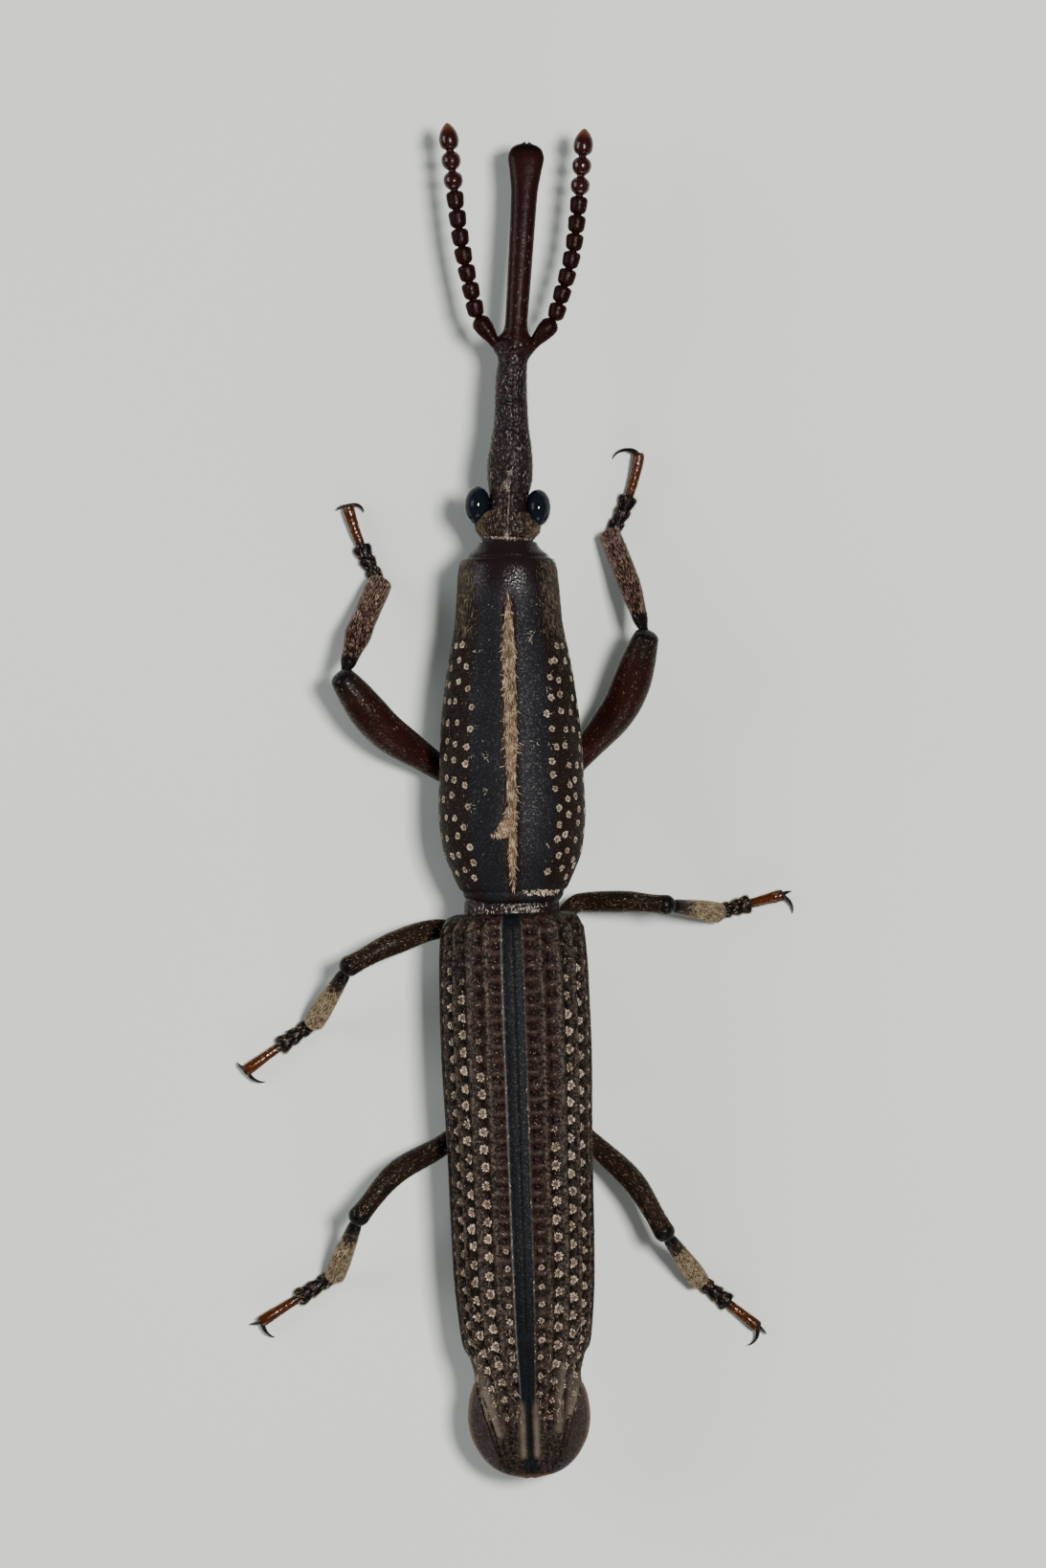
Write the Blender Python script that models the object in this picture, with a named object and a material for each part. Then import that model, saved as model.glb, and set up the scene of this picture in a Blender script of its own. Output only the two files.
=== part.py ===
"""A straight-snouted weevil of the genus Hormocerus, standing, at life size.

The beetle faces +Y with its feet on z = 0. Sizes below are in millimetres, and become
metres where a mesh or a curve is made. The body is three straight lengths, head, prothorax
and hind body, that meet at slight angles, so each has a frame of its own: an empty at its
joint, turned about the vertical.
"""

import math
from collections import namedtuple

import bmesh
import bpy
import numpy as np
from mathutils import Vector

MM = 0.001
WELD = 1e-7
BODY_NAME = "hormocerus_weevil"

JOINT_GAP = 0.3
RING_STEPS = 12
FURROW_ANGLES = tuple(math.radians(degrees) for degrees in (0, 4, 9))

# The three frames: where each joint lies on the floor plan, and its turn to the left
HEAD_JOINT = (-0.24, 7.75)
HEAD_TURN = math.radians(-2.8)
THORAX_BASE = (-0.05, -3.10)
THORAX_TURN = math.radians(1.0)
WINGCASE_BASE = (-0.11, -3.40)
WINGCASE_TURN = math.radians(2.0)

# Prothorax: distance in front of its base, half width, top and underside
PROTHORAX = (
    (0.00, 1.32, 4.35, 1.85),
    (0.15, 1.44, 4.45, 1.75),
    (0.90, 1.82, 4.65, 1.45),
    (1.60, 2.09, 4.78, 1.30),
    (2.70, 2.20, 4.87, 1.22),
    (4.30, 2.15, 4.87, 1.25),
    (6.00, 2.01, 4.72, 1.42),
    (7.35, 1.80, 4.55, 1.62),
    (8.50, 1.57, 4.40, 1.80),
    (9.90, 1.46, 4.24, 2.02),
    (10.20, 1.38, 4.18, 2.10),
    (10.42, 1.18, 4.08, 2.22),
    (10.60, 0.88, 3.97, 2.38),
    (10.80, 0.85, 3.93, 2.42),
)
PROTHORAX_SPACING = 0.75
FURROW_DEPTH = 0.12
FURROW_FRONT = 9.1
FURROW_BACK = 0.45

# Head: distance in front of the neck joint, half width, top and underside
HEAD = (
    (0.22, 0.76, 3.92, 2.40),
    (0.45, 0.96, 4.02, 2.30),
    (0.62, 0.94, 4.02, 2.30),
    (0.72, 0.52, 4.00, 2.30),
    (1.50, 0.50, 3.88, 2.38),
    (1.62, 0.72, 3.84, 2.42),
    (1.86, 0.68, 3.78, 2.50),
)
HEAD_FURROW_DEPTH = 0.07

# Eyes stand on the flat cheeks of the head
EYE_CENTRE = 1.10
EYE_HEIGHT = 3.18
EYE_RADIUS = 0.56
EYE_INNER = 0.80
EYE_OUTER = 1.23

# Rostrum: distance in front of the neck joint, half width and half height. Its axis droops
ROSTRUM_START = 2.16
ROSTRUM_END = 11.92
ROSTRUM = (
    (2.16, 0.67, 0.60),
    (2.85, 0.60, 0.56),
    (3.60, 0.49, 0.50),
    (4.60, 0.45, 0.46),
    (5.30, 0.42, 0.44),
    (6.50, 0.34, 0.36),
    (8.00, 0.36, 0.34),
    (10.40, 0.40, 0.31),
    (11.10, 0.48, 0.28),
    (11.55, 0.54, 0.25),
    (11.80, 0.46, 0.20),
    (11.92, 0.30, 0.14),
)
ROSTRUM_STATIONS = 22
ROSTRUM_LEVEL = ((0.0, 3.22), (2.0, 3.16), (6.0, 2.85), (12.0, 2.30))
ROSTRUM_SWAY = ((0.0, 0.0), (3.0, -0.03), (4.9, -0.11), (6.5, -0.05), (11.5, 0.0), (12.0, 0.0))
MANDIBLE_LENGTH = 0.20

# Antennae: the socket on the rostrum, then three places on the floor plan with their levels
SOCKET_PLACE = 5.86
SOCKET_ASIDE = 0.46
SOCKET_RADIUS = 0.24
SCAPE_RADIUS = 0.28
ANTENNAE = {
    "left": ((-1.154, 14.45, 2.80), (-1.668, 16.97, 2.66), (-2.053, 20.30, 2.45)),
    "right": ((1.177, 14.36, 2.80), (1.777, 16.76, 2.66), (2.082, 20.13, 2.45)),
}
BEADS = 10
BEAD_RADIUS_FIRST = 0.235
BEAD_RADIUS_LAST = 0.285
BEAD_NECK = 0.15
LAST_BEAD_LENGTH = 1.5

# Hind body: distance behind its base, half width, top at the suture, level of the side edge
WINGCASE = (
    (0.00, 1.80, 4.48, 2.92),
    (0.12, 1.98, 4.62, 2.85),
    (0.50, 2.12, 4.78, 2.74),
    (2.00, 2.21, 4.96, 2.62),
    (3.80, 2.23, 5.03, 2.58),
    (7.00, 2.15, 5.02, 2.58),
    (10.60, 2.09, 4.86, 2.55),
    (12.70, 1.92, 4.58, 2.48),
    (13.93, 1.62, 4.25, 2.42),
    (14.60, 1.79, 4.00, 2.40),
    (15.15, 1.84, 3.78, 2.36),
    (15.65, 1.77, 3.56, 2.32),
    (16.20, 1.52, 3.30, 2.28),
    (16.60, 1.18, 3.08, 2.24),
    (16.85, 0.75, 2.92, 2.22),
    (16.95, 0.45, 2.82, 2.26),
)
WINGCASE_POWER = 2.3

# Each wing case has rows of pits with a rib between each two. Angles run from the suture, 0,
# round to the side edge, 90. Behind the waist the rows draw in and leave a smooth lobe outside
PIT_PITCH = 0.53
PIT_DEPTH = 0.14
BAR_DEPTH = 0.05
SUTURE_BAND = 5.5
PIT_ROWS = (11.5, 27.0, 43.5, 60.0, 76.0)
RIBS = (19.0, 35.0, 52.0, 68.5, 83.0)
ROWS_START = 0.45
ROWS_NARROW_FROM = 13.0
ROWS_NARROW_BY = 0.17
ROWS_FADE = (13.4, 16.2)

# Underside of the hind body: distance behind its base, half width and lowest level
UNDERSIDE = (
    (0.00, 1.25, 1.90),
    (0.25, 1.55, 1.62),
    (1.20, 1.95, 1.38),
    (3.50, 2.05, 1.28),
    (7.00, 1.98, 1.26),
    (11.00, 1.90, 1.28),
    (13.00, 1.62, 1.38),
    (14.60, 1.40, 1.55),
    (15.70, 1.15, 1.75),
    (16.20, 0.80, 1.88),
)
THORAX_UNDER_END = 6.30
ABDOMEN_START = THORAX_UNDER_END + JOINT_GAP
ABDOMEN_END = 16.20
UNDERSIDE_SPACING = 0.9
PLATE_GROOVES = (9.70, 12.10, 12.80, 13.55)
GROOVE_HALF_WIDTH = 0.09
GROOVE_DEPTH = 0.08

COXA_RADIUS = 0.45

# Legs, in floor plan coordinates. Leaves is where the femur comes out from under the body, the
# bows bend femur and tibia to the left of their way, femur and tibia give radii from root to end,
# and hook is the angle, to the left, at which the larger claw leaves the toe
Leg = namedtuple("Leg", "coxa leaves knee ankle toe bows femur tibia hook")
LEGS = {
    "fore_left": Leg(
        (-0.85, -0.15, 1.32), (-2.40, 1.01, 1.32), (-5.18, 3.62, 2.75), (-4.09, 6.50, 0.72),
        (-5.08, 8.91), (0.26, 0.05), (0.27, 0.53, 0.33), (0.25, 0.35, 0.33), -60,
    ),
    "fore_right": Leg(
        (0.80, -0.15, 1.32), (2.11, 1.44, 1.32), (3.92, 4.85, 2.75), (2.86, 7.95, 0.72),
        (3.74, 10.47), (-0.30, -0.04), (0.27, 0.55, 0.33), (0.25, 0.33, 0.33), 60,
    ),
    "mid_left": Leg(
        (-0.85, -4.10, 1.38), (-2.20, -3.90, 1.45), (-4.98, -5.00, 2.50), (-6.07, -6.72, 0.68),
        (-8.20, -8.24), (-0.14, 0.0), (0.25, 0.34, 0.27), (0.23, 0.26, 0.30), 70,
    ),
    "mid_right": Leg(
        (0.85, -4.10, 1.38), (2.00, -3.10, 1.45), (4.52, -3.16, 2.85), (6.10, -3.42, 0.68),
        (8.10, -2.88), (0.06, 0.0), (0.25, 0.32, 0.27), (0.23, 0.26, 0.30), -28,
    ),
    "hind_left": Leg(
        (-0.75, -9.05, 1.34), (-2.11, -10.35, 1.45), (-4.69, -12.49, 2.75), (-5.44, -14.36, 0.68),
        (-7.74, -15.82), (-0.28, 0.0), (0.25, 0.34, 0.27), (0.23, 0.26, 0.30), 60,
    ),
    "hind_right": Leg(
        (0.95, -9.05, 1.34), (2.34, -10.35, 1.45), (4.47, -12.98, 2.50), (5.53, -14.50, 0.68),
        (7.36, -15.96), (0.22, 0.0), (0.25, 0.34, 0.27), (0.23, 0.26, 0.30), -26,
    ),
}
LEG_SIDES = 3
FEMUR_STEPS = 10
TIBIA_STEPS = 8

# Foot: places of its three padded joints and its claw joint along the way to the toe
FOOT_LEVEL = 0.20
FOOT_START = 0.10
PAD_PLACES = (0.15, 0.29, 0.44)
PAD_RADII = (0.23, 0.24, 0.27)
PAD_WAIST = 0.16
CLAW_JOINT = ((0.53, 0.16, 0.28), (0.74, 0.17, 0.36), (0.94, 0.22, 0.36), (1.00, 0.15, 0.34))

# Claws: length, the share of the hook angle at which each leaves the toe, the angle by which it
# curls on, and its dip towards the floor
Claw = namedtuple("Claw", "length share curl dip")
CLAWS = (Claw(0.78, 1.0, 85, 32), Claw(0.42, -0.7, 45, 40))
CLAW_RADIUS = 0.11
CLAW_STEPS = 6
CLAW_SET_BACK = 0.12

# Each finish: base colour, roughness, metallic
FINISHES = {
    "blue_black_cuticle": ((0.012, 0.014, 0.020, 1.0), 0.35, 0.0),
    "brown_black_cuticle": ((0.020, 0.012, 0.010, 1.0), 0.38, 0.0),
    "red_brown_cuticle": ((0.060, 0.012, 0.008, 1.0), 0.25, 0.0),
    "eye_lens": ((0.004, 0.004, 0.006, 1.0), 0.10, 0.0),
}


def clear_scene():
    for scene_object in list(bpy.data.objects):
        bpy.data.objects.remove(scene_object, do_unlink=True)


def new_collection(name):
    collection = bpy.data.collections.new(name)
    bpy.context.scene.collection.children.link(collection)
    return collection


def finish_of(name, finish):
    """One material for each part, so that each can be changed alone."""
    colour, roughness, metallic = FINISHES[finish]
    material = bpy.data.materials.new(name)
    material.use_nodes = True
    shader = material.node_tree.nodes["Principled BSDF"]
    shader.inputs["Base Color"].default_value = colour
    shader.inputs["Roughness"].default_value = roughness
    shader.inputs["Metallic"].default_value = metallic
    return material


def frame(name, place, turn, parent, collection):
    empty = bpy.data.objects.new(name, None)
    empty.location = (place[0] * MM, place[1] * MM, 0.0)
    empty.rotation_euler = (0.0, 0.0, turn)
    empty.parent = parent
    collection.objects.link(empty)
    return empty


def centre_over_origin(stance, collection):
    """Moves the whole beetle so that the box around it is centred on the origin."""
    bpy.context.view_layer.update()
    depsgraph = bpy.context.evaluated_depsgraph_get()
    low, high = Vector((math.inf,) * 3), Vector((-math.inf,) * 3)
    for part in collection.objects:
        if part.type == "EMPTY":
            continue
        evaluated = part.evaluated_get(depsgraph)
        mesh = evaluated.to_mesh()
        for vertex in mesh.vertices:
            place = part.matrix_world @ vertex.co
            low = Vector(map(min, low, place))
            high = Vector(map(max, high, place))
        evaluated.to_mesh_clear()
    middle = (low + high) / 2
    stance.location -= Vector((middle.x, middle.y, 0.0))


def smooth(stations, at):
    """The values at one place along the stations, on a curve that never overshoots them."""
    table = np.array(stations, dtype=float)
    places, values = table[:, 0], table[:, 1:]
    spans = np.diff(places)[:, None]
    slopes = np.diff(values, axis=0) / spans
    tangents = np.zeros_like(values)
    before, after = slopes[:-1], slopes[1:]
    agree = before * after > 0
    total = np.where(agree, before + after, 1.0)
    tangents[1:-1] = np.where(agree, 2 * before * after / total, 0.0)
    tangents[0], tangents[-1] = slopes[0], slopes[-1]
    i = int(np.clip(np.searchsorted(places, at, side="right") - 1, 0, len(places) - 2))
    t = (at - places[i]) / spans[i, 0]
    start = (1 + 2 * t) * (1 - t) ** 2 * values[i] + t * (1 - t) ** 2 * spans[i] * tangents[i]
    end = t * t * (3 - 2 * t) * values[i + 1] - t * t * (1 - t) * spans[i] * tangents[i + 1]
    return start + end


def signed_power(value, power):
    return math.copysign(abs(value) ** power, value)


def round_ring(along, half_width, top, bottom, wide_at=0.48, power=2.15, steps=RING_STEPS, furrow=None):
    """A closed ring across the body, flatter or fuller than an ellipse by its power.

    A furrow is the depth of a narrow channel along the middle of the top.
    """
    wide_level = bottom + wide_at * (top - bottom)
    angles = [math.pi * step / steps for step in range(2 * steps)]
    if furrow is not None:
        beside = list(FURROW_ANGLES[1:])
        angles = [0.0, *beside, *angles[1:], *(2 * math.pi - angle for angle in reversed(beside))]
    ring = []
    for angle in angles:
        x = half_width * signed_power(math.sin(angle), 2 / power)
        reach = top - wide_level if math.cos(angle) > 0 else wide_level - bottom
        z = wide_level + reach * signed_power(math.cos(angle), 2 / power)
        if furrow and math.cos(angle) > math.cos(FURROW_ANGLES[1]) - 0.001:
            z -= furrow
        ring.append(Vector((x, along, z)))
    return ring


def places_along(stations, spacing):
    """The stations' own places, with more between them where they are far apart."""
    places = [stations[0][0]]
    for first, second in zip(stations, stations[1:]):
        parts = max(1, round((second[0] - first[0]) / spacing))
        for part in range(1, parts + 1):
            places.append(first[0] + (second[0] - first[0]) * part / parts)
    return places


def under_ring(along, half_width, top, bottom, power=2.2, steps=RING_STEPS):
    """A ring with a flat top, rounded below."""
    ring = []
    for step in range(steps + 1):
        angle = math.pi * (step / steps - 0.5)
        x = half_width * signed_power(math.sin(angle), 2 / power)
        z = top - (top - bottom) * math.cos(angle) ** (2 / power)
        ring.append(Vector((x, along, z)))
    return ring


def link_mesh(name, mesh, finish, parent, collection):
    made = bpy.data.objects.new(name, mesh)
    made.parent = parent
    collection.objects.link(made)
    mesh.shade_smooth()
    mesh.set_sharp_from_angle(angle=math.radians(40))
    if finish:
        mesh.materials.append(finish_of(name, finish))
    return made


def loft(name, rings, finish, parent, collection):
    """A closed solid through rings of equal count, with flat ends."""
    bm = bmesh.new()
    rows = [[bm.verts.new(point * MM) for point in ring] for ring in rings]
    count = len(rows[0])
    for first, second in zip(rows, rows[1:]):
        for i in range(count):
            j = (i + 1) % count
            bm.faces.new((first[i], first[j], second[j], second[i]))
    bm.faces.new(rows[0])
    bm.faces.new(rows[-1])
    bmesh.ops.recalc_face_normals(bm, faces=bm.faces[:])
    mesh = bpy.data.meshes.new(name)
    bm.to_mesh(mesh)
    bm.free()
    return link_mesh(name, mesh, finish, parent, collection)


def tube(name, points, radii, finish, parent, collection, sides=LEG_SIDES):
    """A round rod through the points, with its own radius at each and filled ends."""
    curve = bpy.data.curves.new(name, "CURVE")
    curve.dimensions = "3D"
    curve.bevel_depth = MM
    curve.bevel_resolution = sides
    curve.use_fill_caps = True
    spline = curve.splines.new("POLY")
    spline.points.add(len(points) - 1)
    for spline_point, point, radius in zip(spline.points, points, radii):
        spline_point.co = (*(Vector(point) * MM), 1.0)
        spline_point.radius = radius
    made = bpy.data.objects.new(name, curve)
    made.parent = parent
    collection.objects.link(made)
    if finish:
        curve.materials.append(finish_of(name, finish))
    return made


def as_mesh(source, finish=None):
    """The same piece as a closed mesh, with a curve's loose end caps welded on."""
    bpy.context.view_layer.update()
    depsgraph = bpy.context.evaluated_depsgraph_get()
    mesh = bpy.data.meshes.new_from_object(source.evaluated_get(depsgraph))
    name, parent, collection = source.name, source.parent, source.users_collection[0]
    place = source.matrix_world.copy()
    bpy.data.objects.remove(source, do_unlink=True)
    bm = bmesh.new()
    bm.from_mesh(mesh)
    bmesh.ops.remove_doubles(bm, verts=bm.verts[:], dist=WELD)
    bmesh.ops.recalc_face_normals(bm, faces=bm.faces[:])
    bm.to_mesh(mesh)
    bm.free()
    mesh.materials.clear()
    made = link_mesh(name, mesh, finish, parent, collection)
    made.matrix_world = place
    return made


def shell_of(seed):
    """All the faces that are joined to one face."""
    found, waiting = {seed}, [seed]
    while waiting:
        for edge in waiting.pop().edges:
            for face in edge.link_faces:
                if face not in found:
                    found.add(face)
                    waiting.append(face)
    return found


def volume_of(faces):
    total = 0.0
    for face in faces:
        corners = [vertex.co for vertex in face.verts]
        for second, third in zip(corners[1:], corners[2:]):
            total += corners[0].dot(second.cross(third)) / 6
    return total


def keep_largest(mesh):
    bm = bmesh.new()
    bm.from_mesh(mesh)
    left, shells = set(bm.faces), []
    while left:
        shell = shell_of(next(iter(left)))
        shells.append(shell)
        left -= shell
    shells.sort(key=volume_of)
    scraps = [face for shell in shells[:-1] for face in shell]
    bmesh.ops.delete(bm, geom=scraps, context="FACES")
    loose = [vertex for vertex in bm.verts if not vertex.link_faces]
    bmesh.ops.delete(bm, geom=loose, context="VERTS")
    bm.to_mesh(mesh)
    bm.free()


def fuse(body, pieces, finish):
    """One closed body from a mesh object and the closed pieces that grow from it."""
    helpers = new_collection(body.name + "_pieces")
    for piece in pieces:
        for old in piece.users_collection:
            old.objects.unlink(piece)
        helpers.objects.link(piece)
        piece.hide_render = True
        piece.display_type = "WIRE"
    union = body.modifiers.new("union", "BOOLEAN")
    union.operation = "UNION"
    union.operand_type = "COLLECTION"
    union.collection = helpers
    union.solver = "EXACT"
    bpy.context.view_layer.update()
    depsgraph = bpy.context.evaluated_depsgraph_get()
    mesh = bpy.data.meshes.new_from_object(body.evaluated_get(depsgraph))
    body.modifiers.remove(union)
    body.data = mesh
    for piece in pieces:
        bpy.data.objects.remove(piece, do_unlink=True)
    bpy.data.collections.remove(helpers)
    keep_largest(mesh)
    mesh.materials.clear()
    mesh.materials.append(finish_of(body.name, finish))
    mesh.shade_smooth()
    mesh.set_sharp_from_angle(angle=math.radians(40))
    return body


def ball(name, centre, radii, parent, collection, segments=12, rings=8):
    bm = bmesh.new()
    bmesh.ops.create_uvsphere(bm, u_segments=segments, v_segments=rings, radius=1.0)
    for vertex in bm.verts:
        for axis in range(3):
            vertex.co[axis] = (vertex.co[axis] * radii[axis] + centre[axis]) * MM
    mesh = bpy.data.meshes.new(name)
    bm.to_mesh(mesh)
    bm.free()
    return link_mesh(name, mesh, None, parent, collection)


def into_frame(point, place, turn):
    """A floor plan point, as the frame at that place and turn sees it."""
    x, y = point[0] - place[0], point[1] - place[1]
    cos, sin = math.cos(turn), math.sin(turn)
    return (x * cos + y * sin, y * cos - x * sin, point[2])


def coxae(pair, place, turn, parent, collection):
    """The two hips of one pair of legs, in the frame of the body that carries them."""
    balls = []
    for side in ("left", "right"):
        centre = into_frame(LEGS[f"{pair}_{side}"].coxa, place, turn)
        radii = (COXA_RADIUS, COXA_RADIUS * 1.1, COXA_RADIUS)
        balls.append(ball(f"{pair}_{side}_coxa", centre, radii, parent, collection))
    return balls


def make_prothorax(parent, collection):
    rings = []
    for along in places_along(PROTHORAX, PROTHORAX_SPACING):
        half_width, top, bottom = smooth(PROTHORAX, along)
        furrow = FURROW_DEPTH if FURROW_BACK < along < FURROW_FRONT else 0.0
        rings.append(round_ring(along, half_width, top, bottom, furrow=furrow))
    body = loft("prothorax", rings, None, parent, collection)
    hips = coxae("fore", THORAX_BASE, THORAX_TURN, parent, collection)
    return fuse(body, hips, "blue_black_cuticle")


def make_head(parent, collection):
    rings = []
    for along, half_width, top, bottom in HEAD:
        furrow = HEAD_FURROW_DEPTH if HEAD[0][0] < along < HEAD[-1][0] else 0.0
        rings.append(round_ring(along, half_width, top, bottom, wide_at=0.5, furrow=furrow))
    return loft("head", rings, "brown_black_cuticle", parent, collection)


def make_eye(side, sign, parent, collection):
    """A cap of a sphere, flat on the side of the head."""
    bm = bmesh.new()
    bmesh.ops.create_uvsphere(bm, u_segments=16, v_segments=10, radius=1.0)
    flat = bmesh.ops.bisect_plane(bm, geom=bm.verts[:] + bm.edges[:] + bm.faces[:],
                                  plane_co=(0, 0, 0), plane_no=(sign, 0, 0), clear_inner=True)
    rim = [edge for edge in flat["geom_cut"] if isinstance(edge, bmesh.types.BMEdge)]
    bmesh.ops.contextual_create(bm, geom=rim)
    bmesh.ops.recalc_face_normals(bm, faces=bm.faces[:])
    for vertex in bm.verts:
        across = sign * EYE_INNER + vertex.co.x * (EYE_OUTER - EYE_INNER)
        vertex.co = Vector((across, EYE_CENTRE + vertex.co.y * EYE_RADIUS,
                            EYE_HEIGHT + vertex.co.z * EYE_RADIUS)) * MM
    mesh = bpy.data.meshes.new(f"eye_{side}")
    bm.to_mesh(mesh)
    bm.free()
    return link_mesh(f"eye_{side}", mesh, "eye_lens", parent, collection)


def rostrum_axis(along):
    """The middle of the rostrum, which bends a little to the side and droops."""
    sway, level = smooth(ROSTRUM_SWAY, along)[0], smooth(ROSTRUM_LEVEL, along)[0]
    return Vector((float(sway), along, float(level)))


def socket_centre(sign):
    return rostrum_axis(SOCKET_PLACE) + Vector((sign * SOCKET_ASIDE, 0.0, 0.0))


def make_rostrum(parent, collection):
    rings = []
    for station in range(ROSTRUM_STATIONS + 1):
        share = station / ROSTRUM_STATIONS
        along = ROSTRUM_START + (ROSTRUM_END - ROSTRUM_START) * math.sin(share * math.pi / 2)
        half_width, half_height = smooth(ROSTRUM, along)
        axis = rostrum_axis(along)
        ring = round_ring(along, half_width, axis.z + half_height, axis.z - half_height,
                          wide_at=0.5, steps=7)
        rings.append([point + Vector((axis.x, 0.0, 0.0)) for point in ring])
    snout = loft("rostrum", rings, None, parent, collection)
    pieces = []
    for sign in (-1, 1):
        pieces.append(ball(f"socket_{sign}", socket_centre(sign), (SOCKET_RADIUS,) * 3,
                           parent, collection, 10, 6))
        root = rostrum_axis(ROSTRUM_END) + Vector((sign * 0.10, -0.25, 0.0))
        middle = root + Vector((sign * 0.02, 0.30, 0.0))
        tip = root + Vector((-sign * 0.05, 0.25 + MANDIBLE_LENGTH, 0.0))
        jaw = tube(f"mandible_{sign}", (root, middle, tip), (0.10, 0.085, 0.03), None,
                   parent, collection, sides=1)
        pieces.append(as_mesh(jaw))
    return fuse(snout, pieces, "red_brown_cuticle")


def make_antenna(side, sign, parent, collection):
    """A club-shaped first joint and ten beads, wider and rounder towards the tip."""
    places = [Vector(into_frame(place, HEAD_JOINT, HEAD_TURN)) for place in ANTENNAE[side]]
    socket = socket_centre(sign)
    lean = (places[0] - socket).normalized()
    start = socket + lean * (SOCKET_RADIUS + JOINT_GAP)
    points, radii = [], []
    for share, radius in ((0.0, 0.20), (0.30, SCAPE_RADIUS), (0.65, 0.23), (0.97, BEAD_NECK)):
        points.append(start.lerp(places[0], share))
        radii.append(radius)
    first_half = (places[1] - places[0]).length
    whole = first_half + (places[2] - places[1]).length
    route = [(0.0, *places[0]), (first_half, *places[1]), (whole, *places[2])]
    lengths = [0.95 + 0.2 * (bead / BEADS) ** 2 for bead in range(BEADS - 1)] + [LAST_BEAD_LENGTH]
    begins = 0.0
    for bead, length in enumerate(lengths):
        share = bead / (BEADS - 1)
        radius = BEAD_RADIUS_FIRST + (BEAD_RADIUS_LAST - BEAD_RADIUS_FIRST) * share ** 2
        shape = ((0.04, BEAD_NECK), (0.20, radius * 0.80), (0.62, radius), (0.88, radius * 0.78))
        if bead == BEADS - 1:
            shape = ((0.03, BEAD_NECK), (0.15, radius * 0.85), (0.42, radius), (0.70, radius * 0.75),
                     (0.98, 0.05))
        for at, bead_radius in shape:
            along = whole * (begins + length * at) / sum(lengths)
            points.append(Vector(smooth(route, along)))
            radii.append(bead_radius)
        begins += length
    return tube(f"antenna_{side}", points, radii, "red_brown_cuticle", parent, collection)


def wingcase_places():
    """Two places for each pit, at its middle and at the bar behind it, then the round end."""
    places = [station[0] for station in WINGCASE[:2]]
    along = ROWS_START
    while along < ROWS_FADE[1]:
        places.append(along)
        along += PIT_PITCH / 2
    return places + [station[0] for station in WINGCASE if station[0] > along - PIT_PITCH / 4]


def wingcase_ring(station, along, sign):
    """The section of one wing case, with its ribs and pits, closed by a flat underside."""
    half_width, top, edge = smooth(WINGCASE, along)
    start, finish = ROWS_FADE
    fade = min(max((finish - along) / (finish - start), 0.0), 1.0) if along >= ROWS_START else 0.0
    deep = PIT_DEPTH if station % 2 == 0 else BAR_DEPTH
    narrow = 1.0 - ROWS_NARROW_BY * max(along - ROWS_NARROW_FROM, 0.0) / 2
    ring = []
    for degrees in sorted((0.0, SUTURE_BAND, *PIT_ROWS, *RIBS, 90.0)):
        angle = math.radians(degrees)
        drawn_in = 1.0 - (1.0 - narrow) * min(max((90.0 - degrees) / 30.0, 0.0), 1.0)
        reach = math.sin(angle) ** (2 / WINGCASE_POWER) * drawn_in
        angle = math.asin(min(reach, 1.0) ** (WINGCASE_POWER / 2))
        depth = deep * fade if degrees in PIT_ROWS else 0.0
        inner = JOINT_GAP / 2
        x = inner + (half_width - inner) * reach - depth * math.sin(angle)
        height = max(math.cos(angle), 0.0) ** (2 / WINGCASE_POWER)
        z = edge + (top - edge) * height - depth * math.cos(angle)
        ring.append(Vector((sign * x, -along, z)))
    ring.append(Vector((sign * JOINT_GAP / 2, -along, edge)))
    return ring


def make_wingcase(side, sign, parent, collection):
    """One wing case: a solid from the suture out to the side edge, flat below."""
    rings = [wingcase_ring(station, along, sign) for station, along in enumerate(wingcase_places())]
    return loft(f"elytron_{side}", rings, "blue_black_cuticle", parent, collection)


def underside_rings(start, end):
    """Rings below the wing cases, pulled in at the groove between each two plates."""
    breaks = {start, end}
    for groove in PLATE_GROOVES:
        if start < groove < end:
            breaks.update((groove - GROOVE_HALF_WIDTH, groove, groove + GROOVE_HALF_WIDTH))
    breaks.update(station[0] for station in UNDERSIDE if start < station[0] < end)
    rings = []
    for along in places_along([(place,) for place in sorted(breaks)], UNDERSIDE_SPACING):
        half_width, bottom = smooth(UNDERSIDE, along)
        deep = GROOVE_DEPTH if along in PLATE_GROOVES else 0.0
        top = smooth(WINGCASE, along)[2] - JOINT_GAP
        rings.append(under_ring(-along, half_width - deep, top, bottom + deep))
    return rings


def make_underside(parent, collection):
    """Meso- and metathorax in one piece with four hips, and the abdomen behind it."""
    thorax = loft("pterothorax", underside_rings(0.0, THORAX_UNDER_END), None, parent, collection)
    hips = coxae("mid", WINGCASE_BASE, WINGCASE_TURN, parent, collection)
    hips += coxae("hind", WINGCASE_BASE, WINGCASE_TURN, parent, collection)
    fuse(thorax, hips, "brown_black_cuticle")
    loft("abdomen", underside_rings(ABDOMEN_START, ABDOMEN_END), "brown_black_cuticle",
         parent, collection)


def bowed_path(places, bow, steps):
    """A smooth path through the places, whose last stretch bows to the left by so much."""
    begins, ends = places[-2], places[-1]
    way = ends - begins
    aside = Vector((-way.y, way.x, 0.0)).normalized()
    route = [*places[:-1], begins.lerp(ends, 0.5) + aside * bow, ends]
    along, stations = 0.0, [(0.0, *route[0])]
    for first, second in zip(route, route[1:]):
        along += (second - first).length
        stations.append((along, *second))
    return [Vector(smooth(stations, along * step / steps)) for step in range(steps + 1)]


def radii_along(stations, steps):
    return [float(smooth(stations, step / steps)[0]) for step in range(steps + 1)]


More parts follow.
